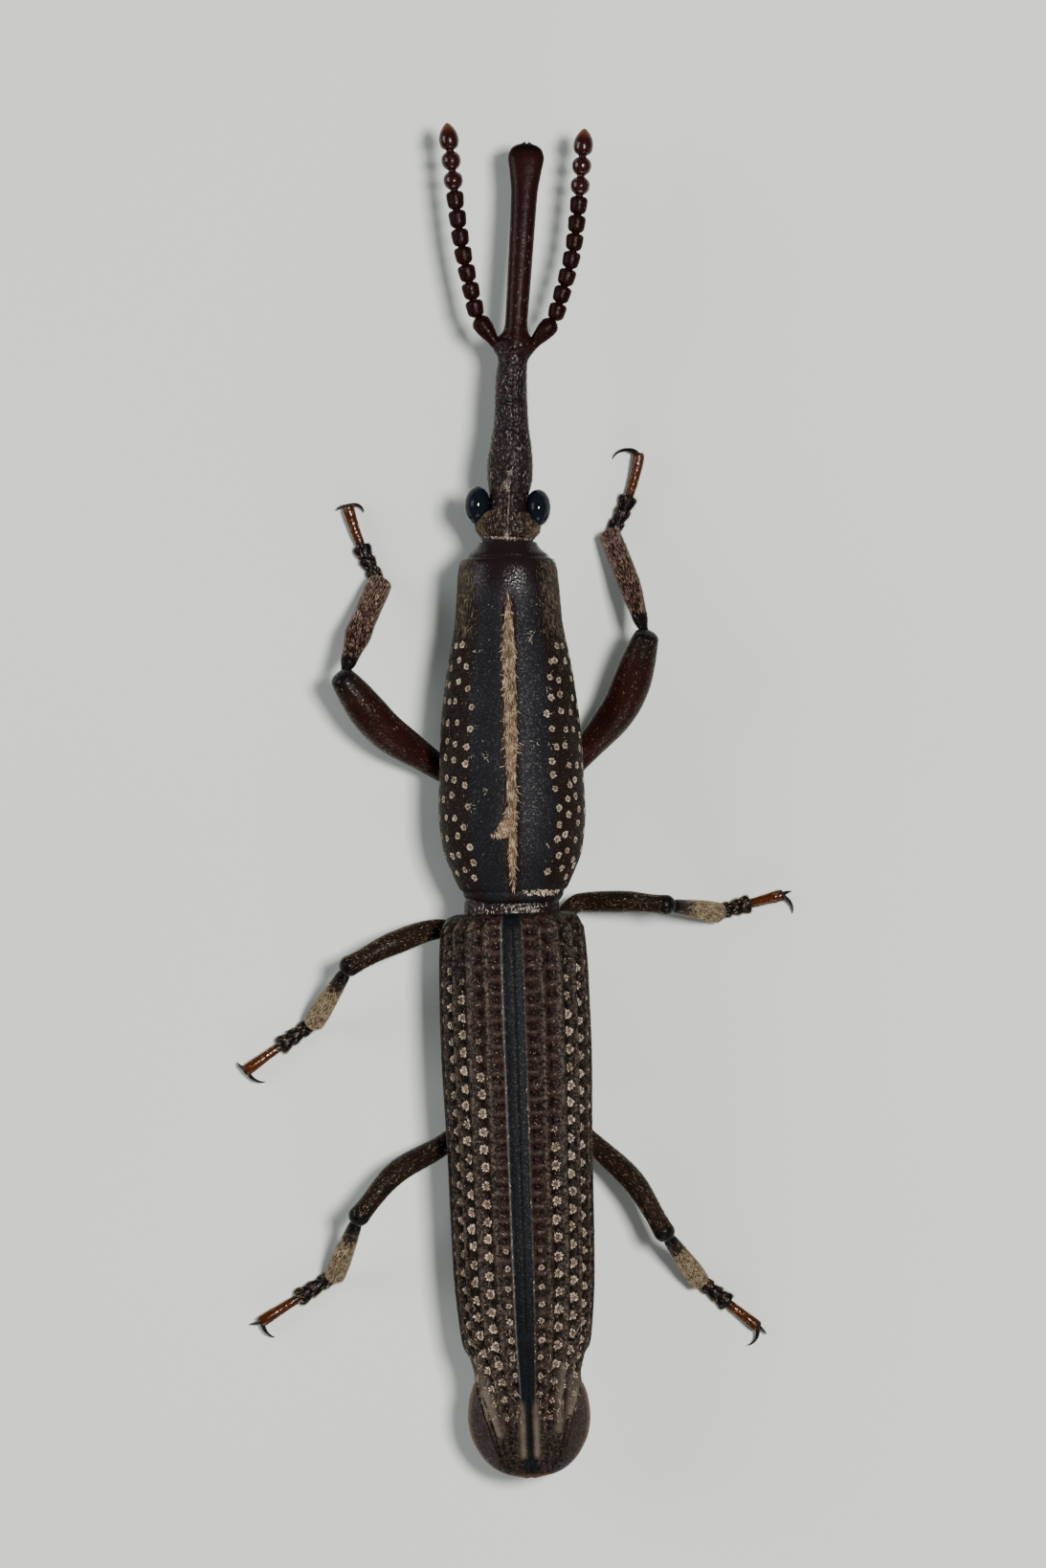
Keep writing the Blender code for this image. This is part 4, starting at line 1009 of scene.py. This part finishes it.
def wing_marks(x, place, sign):
    """Relief in mm and the marks of the ribbed back, from place across and along."""
    rng = np.random.default_rng(60 + sign)
    along, edge = place[:, 0], SUTURE_BAND[sign]
    share = x / curve(BACK, along)
    angle = np.degrees(np.arcsin(np.clip(share, 0, 1) ** (WING_POWER / 2)))
    off = ease(share, 0.985, 1.03) * ease(place, 12.9, 13.7)
    on = (1 - off) * ease(place, 0.05, 0.35)
    pit_fade = on * (1 - ease(place, 14.3, 15.8))
    rib_fade = on * (1 - ease(place, 15.2, 16.1))
    pits, rows, bars = np.zeros_like(x), np.zeros_like(x), np.zeros_like(x)
    for row in ROWS:
        beat = 0.5 - 0.5 * np.cos(2 * math.pi * (place - row.start) / row.pitch)
        across = hump(angle, row.angle + 0.5 * np.sin(place * 1.7 + rng.uniform(0, 6)), 4.2)
        pits = np.maximum(pits, across * beat ** 0.7)
        rows = np.maximum(rows, across)
        if row.angle < 30:
            bars = np.maximum(bars, across * (1 - beat) ** 3)
    rear = ease(place, 12.6, 14.6)
    ribs = np.max([hump(angle, rib, 2.1 + 1.9 * rear) * (1 - (1 - late) * rear) for rib, late in RIBS],
                  axis=0)
    groove = hump(share, 1.0, 0.03) * between(place, (13.2, 14.0), (16.0, 16.5))
    inner = hump(x, 0.205, 0.095) * between(place, (14.3, 14.9), (16.2, 16.45))
    thread = hump(angle, edge + 0.6, 0.9)
    # The seam at the suture: a shallow groove, also darkened with painted shade.
    seam = 1 - ease(x, 0.012, 0.03)
    relief = (RIB_HEIGHT * ribs * rib_fade - PIT_DEPTH * (0.3 * rows + 0.7 * pits) * pit_fade
              - 0.1 * groove + 0.05 * inner + 0.02 * thread * on - 0.02 * seam)
    costa = 0.4 * ribs * rib_fade * rear * (angle > 12)
    for line in COSTAE[sign]:
        centre, (start, end) = curve(line, along), (line[0][0], line[-1][0])
        length = between(place, (start, start + 0.5), (end - 0.3, end))
        ridge = hump(x, centre, 0.095) ** 0.7 * length
        trench = hump(x, centre + 0.14, 0.055) ** 0.7 * length
        costa, pits = np.maximum(costa, ridge), np.maximum(pits, trench)
        relief = relief + 0.09 * ridge - 0.07 * trench
    # Painted shade in the pits and in the trenches beside the strong ridges.
    pit = pits * (1 - off) * np.maximum(pit_fade, rear) * np.where(angle < 33, 0.65, 0.9)
    band = (1 - ease(angle, edge - 0.6, edge + 0.6)) * (1 - off) * (1 - ease(place, 14.4, 15.0))
    suture = np.maximum((1 - ease(x, 0.07, 0.11)) * ease(place, 14.0, 14.6),
                        (1 - ease(x, 0.16, 0.24)) * ease(place, 16.25, 16.4))
    margin = ease(x / curve(WING, along)[:, :1], 0.935, 0.965) * ease(place, 13.4, 14.0)
    return relief, {
        "band": np.maximum(band, suture) * (1 - 0.8 * seam),
        "thread": thread * on * (1 - ease(place, 14.0, 14.8)) * THREAD[sign],
        "pit": np.maximum(pit, seam), "rib": ribs * rib_fade, "bar": 0.6 * bars * pit_fade,
        "red": 0.9 * rows * (1 - ease(angle, 28, 34)) * (1 - ease(place, 9.0, 12.0)),
        "costa": np.maximum(costa, inner), "lobe": off,
        "rim": 0.8 * np.maximum(ease(place, 16.78, 16.92), margin),
    }


def make_wing_case(side, sign):
    """The ribbed back, smooth lobes and turned-in rim of one wing case."""
    along = np.linspace(0, WING_LENGTH, WING_RINGS)
    half, top, edge = (value[:, None] for value in curve(WING, along).T)
    angles = np.linspace(0, math.pi / 2, WING_ARC)
    lip_out, lip_up = np.array(WING_LIP).T
    out = np.r_[np.sin(angles) ** (2 / WING_POWER), lip_out]
    x = SUTURE_HALF + (half - SUTURE_HALF) * out
    z = np.c_[edge + (top - edge) * np.cos(angles) ** (2 / WING_POWER), edge + lip_up]
    corners = ((0, 1), (WING_ARC - 1, WING_ARC - 2))
    skin = lay(sign * x, -along[:, None], z, WING_JOINT, corners)
    relief, marks = wing_marks(x[:, :WING_ARC], along[:, None], sign)
    lip = np.zeros((WING_RINGS, len(WING_LIP)))
    skin.raise_by(np.c_[relief, lip])
    skin.marks = {mark: np.c_[values, lip] for mark, values in marks.items()}
    shell(f"wing_case_{side}", [skin], wing_cuticle(), BLUE_BLACK, f"elytron_{side}", crease=60)
    return skin


def wing_place(along, angle):
    """The v and u of a place on the ribbed back, from its distance and its angle round."""
    along, angle = np.atleast_1d(along), np.atleast_1d(angle)
    x = np.sin(np.radians(angle)) ** (2 / WING_POWER) * curve(BACK, along)[:, 0]
    share = np.clip(x / curve(WING, along)[:, 0], 0, 1)
    turn = np.arcsin(share ** (WING_POWER / 2)) / (math.pi / 2)
    return along / WING_LENGTH, turn * (WING_ARC - 1) / (WING_ARC + len(WING_LIP))


def scale_wing_case(side, sign, skin):
    """A rosette of scales in each pit, then loose scales: everywhere, more at the rear, on the thread."""
    coat = Coat(70 + sign)
    rng = coat.rng
    for number, (row, fill) in enumerate(zip(ROWS, ROWS_FILL[sign])):
        along = row.start
        while along < ROWS_END:
            strength = (0.12 + 0.88 * float(ease(along, fill - 1.2, fill + 1.0))) * rng.uniform(0.6, 1.1)
            late = float(ease(along, 13.2, 15.0))
            v, u = wing_place(along + rng.normal(0, 0.02), row.angle + rng.normal(0, 0.4))
            radius = row.radius * (1 - 0.45 * late) * min(1.0, strength + 0.35)
            coat.rosette(skin, float(v[0]), float(u[0]), radius, int(25 * strength * (1 - 0.5 * late)),
                         fan=10 + 30 * late, lift=14)
            along += row.pitch * (1.0 if number else 1.35)
    where = rng.uniform(0, 1, (420, 2))
    places = wing_place(0.3 + 15.2 * where[:, 0], SUTURE_BAND[sign] + 1.0 + 78 * where[:, 1])
    coat.grow(skin, *places, 0.09, 0.016, lie=0, fan=35, shade=(0.0, 0.7))
    where = rng.uniform(0, 1, (200, 2))
    places = wing_place(11.6 + 3.6 * where[:, 0], 8 + 66 * where[:, 1])
    coat.grow(skin, *places, 0.16, 0.016, lie=0, fan=55, lift=16, shade=(0.0, 0.9))
    where = rng.uniform(0, 1, THREAD_HAIRS[sign])
    places = wing_place(0.5 + 13 * where, np.full(len(where), SUTURE_BAND[sign] + 0.6))
    coat.grow(skin, *places, 0.1, 0.018, lie=0, fan=12, shade=(0.4, 1.0))
    coat.piece(f"scales_wing_case_{side}", "scales_tan", BLUE_BLACK)


# Underside


def make_under_body():
    place, angles, _, x, z = body_rings(UNDER, *UNDER_GRID, wide_at=0.62, power=2.2)
    skin = lay(x, -place, z, WING_JOINT)
    uneven(skin, 1.6, 0.02, 81)
    below = np.cos(angles) < 0.3
    seams = np.max([hump(place, seam, 0.05) for seam in PLATE_SEAMS], axis=0) * below
    middle = hump(x, 0, 0.05) * below * between(place, (1.5, 3.0), (5.4, 6.2))
    skin.raise_by(-0.06 * seams - 0.05 * middle)
    # The seams and the middle groove get painted shade.
    skin.marks = {"seam": np.maximum(seams, middle)}
    shell("under_body", [skin], belly_cuticle(), BROWN_BLACK, "pterothorax", "abdomen", crease=60)
    coat = Coat(82)
    coat.over(skin, 5200, (0.04, 0.98), (0.22, 0.78), 0.14, 0.024, lie=0, fan=20, lift=10,
              shade=(0.1, 0.9))
    coat.over(skin, 150, (0.012, 0.04), (-0.14, 0.14), 0.1, 0.022,
              lambda v, u: 0.1 + 0.9 * hump(u, 0.02, 0.07), lie=0, fan=45, lift=14, shade=(0.5, 1.0))
    coat.piece("scales_under_body", "scales_belly_grey", BROWN_BLACK)


# Legs


def bowed_path(places, bow, count):
    """A smooth path through the places, whose last stretch bows to the left by so much."""
    begins, ends = places[-2], places[-1]
    aside = unit(np.array([begins[1] - ends[1], ends[0] - begins[0], 0.0]))
    route = np.array([*places[:-1], (begins + ends) / 2 + aside * bow, ends])
    along = np.r_[0, np.cumsum(np.linalg.norm(np.diff(route, axis=0), axis=1))]
    return curve(np.c_[along, route], np.linspace(0, along[-1], count))


def femur_skin(leg, fore):
    hip, leaves, knee = np.array([leg.hip, leg.leaves, leg.knee])
    root, belly, end = leg.femur
    path = bowed_path([hip + unit(leaves - hip) * HIP_RADIUS * 0.55, leaves, knee], leg.bows[0], 70)
    onward = unit(path[-1] - path[-2]) * (FORE_KNEE_CAP if fore else end * 0.95)
    cap = np.linspace(0, 1, 9)[1:]
    path = np.concatenate([path, knee + onward * cap[:, None]])
    club = FORE_CLUB if fore else ((0.62, belly), (0.9, end * 0.96), (1.0, end * 1.04))
    radii = curve(((0, root * 0.7), (0.05, root * 0.95), (0.09, root * 0.82), (0.16, root * 1.05), *club),
                  np.linspace(0, 1, 70))[:, 0]
    radii = np.r_[radii, radii[-1] * np.sqrt(np.clip(1 - cap ** 2, 0.002, 1))]
    skin = sweep(path, radii * 0.97, radii, LEG_AROUND)
    share = np.linspace(0, 1, len(path))[:, None]
    skin.marks = {"red": (0.9 if fore else 0.12) * between(share, (0.05, 0.2), (0.74, 0.92)),
                  "dark": 0.85 * ease(share, 0.8, 0.95)}
    return skin


def tibia_skin(leg, fore, swollen):
    knee, ankle = np.array([leg.knee, leg.ankle])
    way = unit(ankle - knee)
    root, middle, end = leg.tibia
    path = bowed_path([knee + way * 0.05, ankle], leg.bows[1], 60)
    path = np.concatenate([path, ankle + way * np.array([[0.05], [0.1]])])
    t = np.linspace(0, 1, 60)
    radii = curve(((0, 0.13), (0.08, 0.15), (0.16, root * 0.9), (0.26, root), (0.52, middle),
                   (0.85, end), (1.0, end * 0.98)), t)[:, 0]
    radii = np.r_[radii + 0.05 * swollen * hump(t, 0.42, 0.13), end * 0.9, end * 0.55]
    skin = sweep(path, radii, radii * 0.92, LEG_AROUND)
    share = np.linspace(0, 1, len(path))[:, None]
    skin.marks = {"red": (0.9 if fore else 0.25) * ease(share, 0.2, 0.35),
                  "dark": 0.9 * (1 - ease(share, 0.1, 0.28))}
    return skin


def foot_path(leg, share, level):
    """Places along a foot, from the ankle to the toe, at a level over the floor."""
    ankle, toe = np.array([leg.ankle[:2], leg.toe])
    aside = unit(np.array([ankle[1] - toe[1], toe[0] - ankle[0]])) * leg.bend
    share = share[:, None]
    return np.c_[ankle + (toe - ankle) * share + aside * 4 * share * (1 - share), level]


def foot_skins(leg):
    """Three joints widening to two lobes, then the long claw joint."""
    skins, start = [], -0.05
    t = np.linspace(0, 1, 24)
    for end, radius in PADS:
        level = FOOT_LEVEL + (0.05 * (1 - t) if skins else 0.16 * (1 - ease(t, 0.0, 0.7)))
        widths = radius * curve(PAD_SHAPE, t)[:, 0]
        skin = sweep(foot_path(leg, start + (end - start) * t, level), widths,
                     np.minimum(widths * 0.85, level - 0.01), 22)
        skin.marks = {"dark": 0.9}
        skins.append(skin)
        start = end - 0.05
    t = np.linspace(0, 1, 40)
    level = FOOT_LEVEL + 0.08 + (TOE_LEVEL - FOOT_LEVEL - 0.08) * t + 0.03 * np.sin(math.pi * t)
    radii = curve(((0, 0.12), (0.15, 0.14), (0.5, 0.155), (0.85, 0.18), (0.95, 0.17), (1.0, 0.11)), t)[:, 0]
    skin = sweep(foot_path(leg, 0.44 + 0.56 * t, level), radii, radii * 0.9)
    t = t[:, None]
    skin.marks = {"amber": between(t, (0.08, 0.3), (0.88, 1.0)),
                  "dark": 0.9 * (1 - ease(t, 0.05, 0.2)) + 0.7 * ease(t, 0.9, 1.0)}
    return skins + [skin]


def claw_skin(root, way, leaves, curl, length):
    """One hooked claw, tapering to a point that doesn't reach the floor."""
    t = np.linspace(0, 1, CLAW_STEPS)
    turn = math.atan2(way[1], way[0]) + np.radians(leaves + curl * t)
    dip = np.radians(CLAW_DIP) * t
    heading = np.stack([np.cos(turn) * np.cos(dip), np.sin(turn) * np.cos(dip), -np.sin(dip)], -1)
    path = root + np.cumsum(heading, axis=0) * length / CLAW_STEPS
    radii = CLAW_RADIUS * (1 - 0.85 * t ** 1.5)
    path[:, 2] = np.maximum(path[:, 2], radii + FLOOR_GAP)
    return sweep(path, radii * 0.9, radii, 14)


def hip_skin(leg):
    stretch = HIP_RADIUS * np.array([1.0, 1.1, 1.0])
    return lay(*(middle + side * size for middle, side, size in zip(leg.hip, ball(28, 30, 0.03), stretch)))


def make_leg(name, leg, number):
    fore = name.startswith("fore")
    femur, tibia, feet = femur_skin(leg, fore), tibia_skin(leg, fore, name == "fore_left"), foot_skins(leg)
    shell(f"leg_{name}", [hip_skin(leg), femur, tibia, *feet], leg_cuticle(), RED_BROWN,
          *(f"{name}_{part}" for part in ("femur", "tibia", "tarsus")))
    last = foot_path(leg, np.array([0.97, 1.0]), np.zeros(2))
    way = unit(last[1] - last[0])
    root = np.array([*leg.toe, TOE_LEVEL]) - way * CLAW_SET_BACK
    shell(f"claws_{name}", [claw_skin(root, way, *claw) for claw in leg.claws], claw_horn(), BROWN_BLACK)
    coat = Coat(90 + number, (0.02, 0.02, 0.3, 0.4))
    coat.over(femur, 260 if fore else 520, (0.12, 0.9), (0, 1), 0.11, 0.011, lie=0, fan=20, lift=10,
              shade=(0.0, 0.8))
    coat.place = (0.35, 0.02, 0.3, 0.4)
    coat.over(tibia, 4000 if fore else 4200, (0.16, 0.97), (0, 1), 0.13, 0.01,
              lambda v, u: 0.15 + 0.75 * v if fore else ease(v, 0.25, 0.5) * 0.97 + 0.03,
              lie=0, fan=13, lift=14, shade=(0.15, 1.0))
    for joint, skin in enumerate(feet[:3]):
        coat.place = (0.7, 0.02 + 0.1 * joint, 0.25, 0.08)
        coat.over(skin, 230, (0.25, 0.98), (0, 1), 0.13, 0.012, lambda v, u: 0.25 + 0.75 * (u > 0.45),
                  lie=0, lift=20, shade=(0.1, 0.9))
    coat.place = (0.7, 0.4, 0.25, 0.1)
    coat.over(feet[3], 50, (0.1, 0.95), (0, 1), 0.12, 0.014, lie=0, fan=15, lift=25, shade=(0.3, 0.8))
    coat.piece(f"hairs_leg_{name}", "hairs_rust" if fore else "hairs_tan_gold", RED_BROWN)


# Light, floor and camera


def area_light(name, place, size, power, colour):
    """A soft lamp aimed at the middle of the floor, with its place and size in mm."""
    light = bpy.data.lights.new(name, "AREA")
    light.shape, light.size, light.size_y = "RECTANGLE", size[0] * MM, size[1] * MM
    light.energy, light.color = power, colour
    lamp = bpy.data.objects.new(name, light)
    lamp.location = Vector(place) * MM
    lamp.rotation_euler = (-lamp.location).to_track_quat("-Z", "Y").to_euler()
    bpy.context.scene.collection.objects.link(lamp)


def make_studio():
    """Matt pale paper under a soft main lamp, a wide fill and a rear lamp."""
    paper = Finish("paper_matt_floor", {"Roughness": 0.85}, (30.0, 2.0))
    paper.feed("Base Color", paper.colours(("#c8cdc6", "#d1d5cf")))
    corners = FLOOR_HALF * MM * np.array([[-1, -1, 0], [1, -1, 0], [1, 1, 0], [-1, 1, 0]])
    floor = mesh_piece("floor", corners, [(0, 1, 2, 3)], paper.made, {})
    if floor.data.polygons[0].normal.z < 0:
        floor.data.flip_normals()
    world = bpy.data.worlds.new("soft_room")
    bpy.context.scene.world = world
    world.use_nodes = True
    background = world.node_tree.nodes["Background"]
    background.inputs["Color"].default_value = linear("#dfe5ea")
    background.inputs["Strength"].default_value = ROOM_LIGHT
    area_light("key", (68, 20, 285), (44, 44), 1.36, (1.0, 0.98, 0.95))
    area_light("fill", (-260, 60, 150), (160, 160), 0.5, (0.94, 0.97, 1.0))
    area_light("rear", (40, -280, 120), (160, 90), 0.28, (1.0, 1.0, 1.0))


def make_camera():
    """Straight above the beetle, far enough off that near and far parts keep one scale."""
    camera = bpy.data.cameras.new("camera")
    camera.lens, camera.sensor_width, camera.sensor_fit = LENS_MM, SENSOR_MM, "AUTO"
    camera.clip_start, camera.clip_end = 0.01, 10.0
    view = bpy.data.objects.new("camera", camera)
    view.location = placed((*PHOTO_MIDDLE, BODY_MIDDLE + LENS_MM * PHOTO_HEIGHT / SENSOR_MM))
    bpy.context.scene.collection.objects.link(view)
    bpy.context.scene.camera = view


def main():
    make_camera()
    make_studio()
    make_thorax()
    make_head()
    feelers = []
    for side, sign in (("left", -1), ("right", 1)):
        make_eye(side, sign)
        feelers.append(make_feeler(side, sign))
        scale_wing_case(side, sign, make_wing_case(side, sign))
    make_mandibles()
    hair_feelers(feelers)
    make_under_body()
    for number, (name, leg) in enumerate(LEGS.items()):
        make_leg(name, leg, number)


main()
bpy.context.view_layer.update()
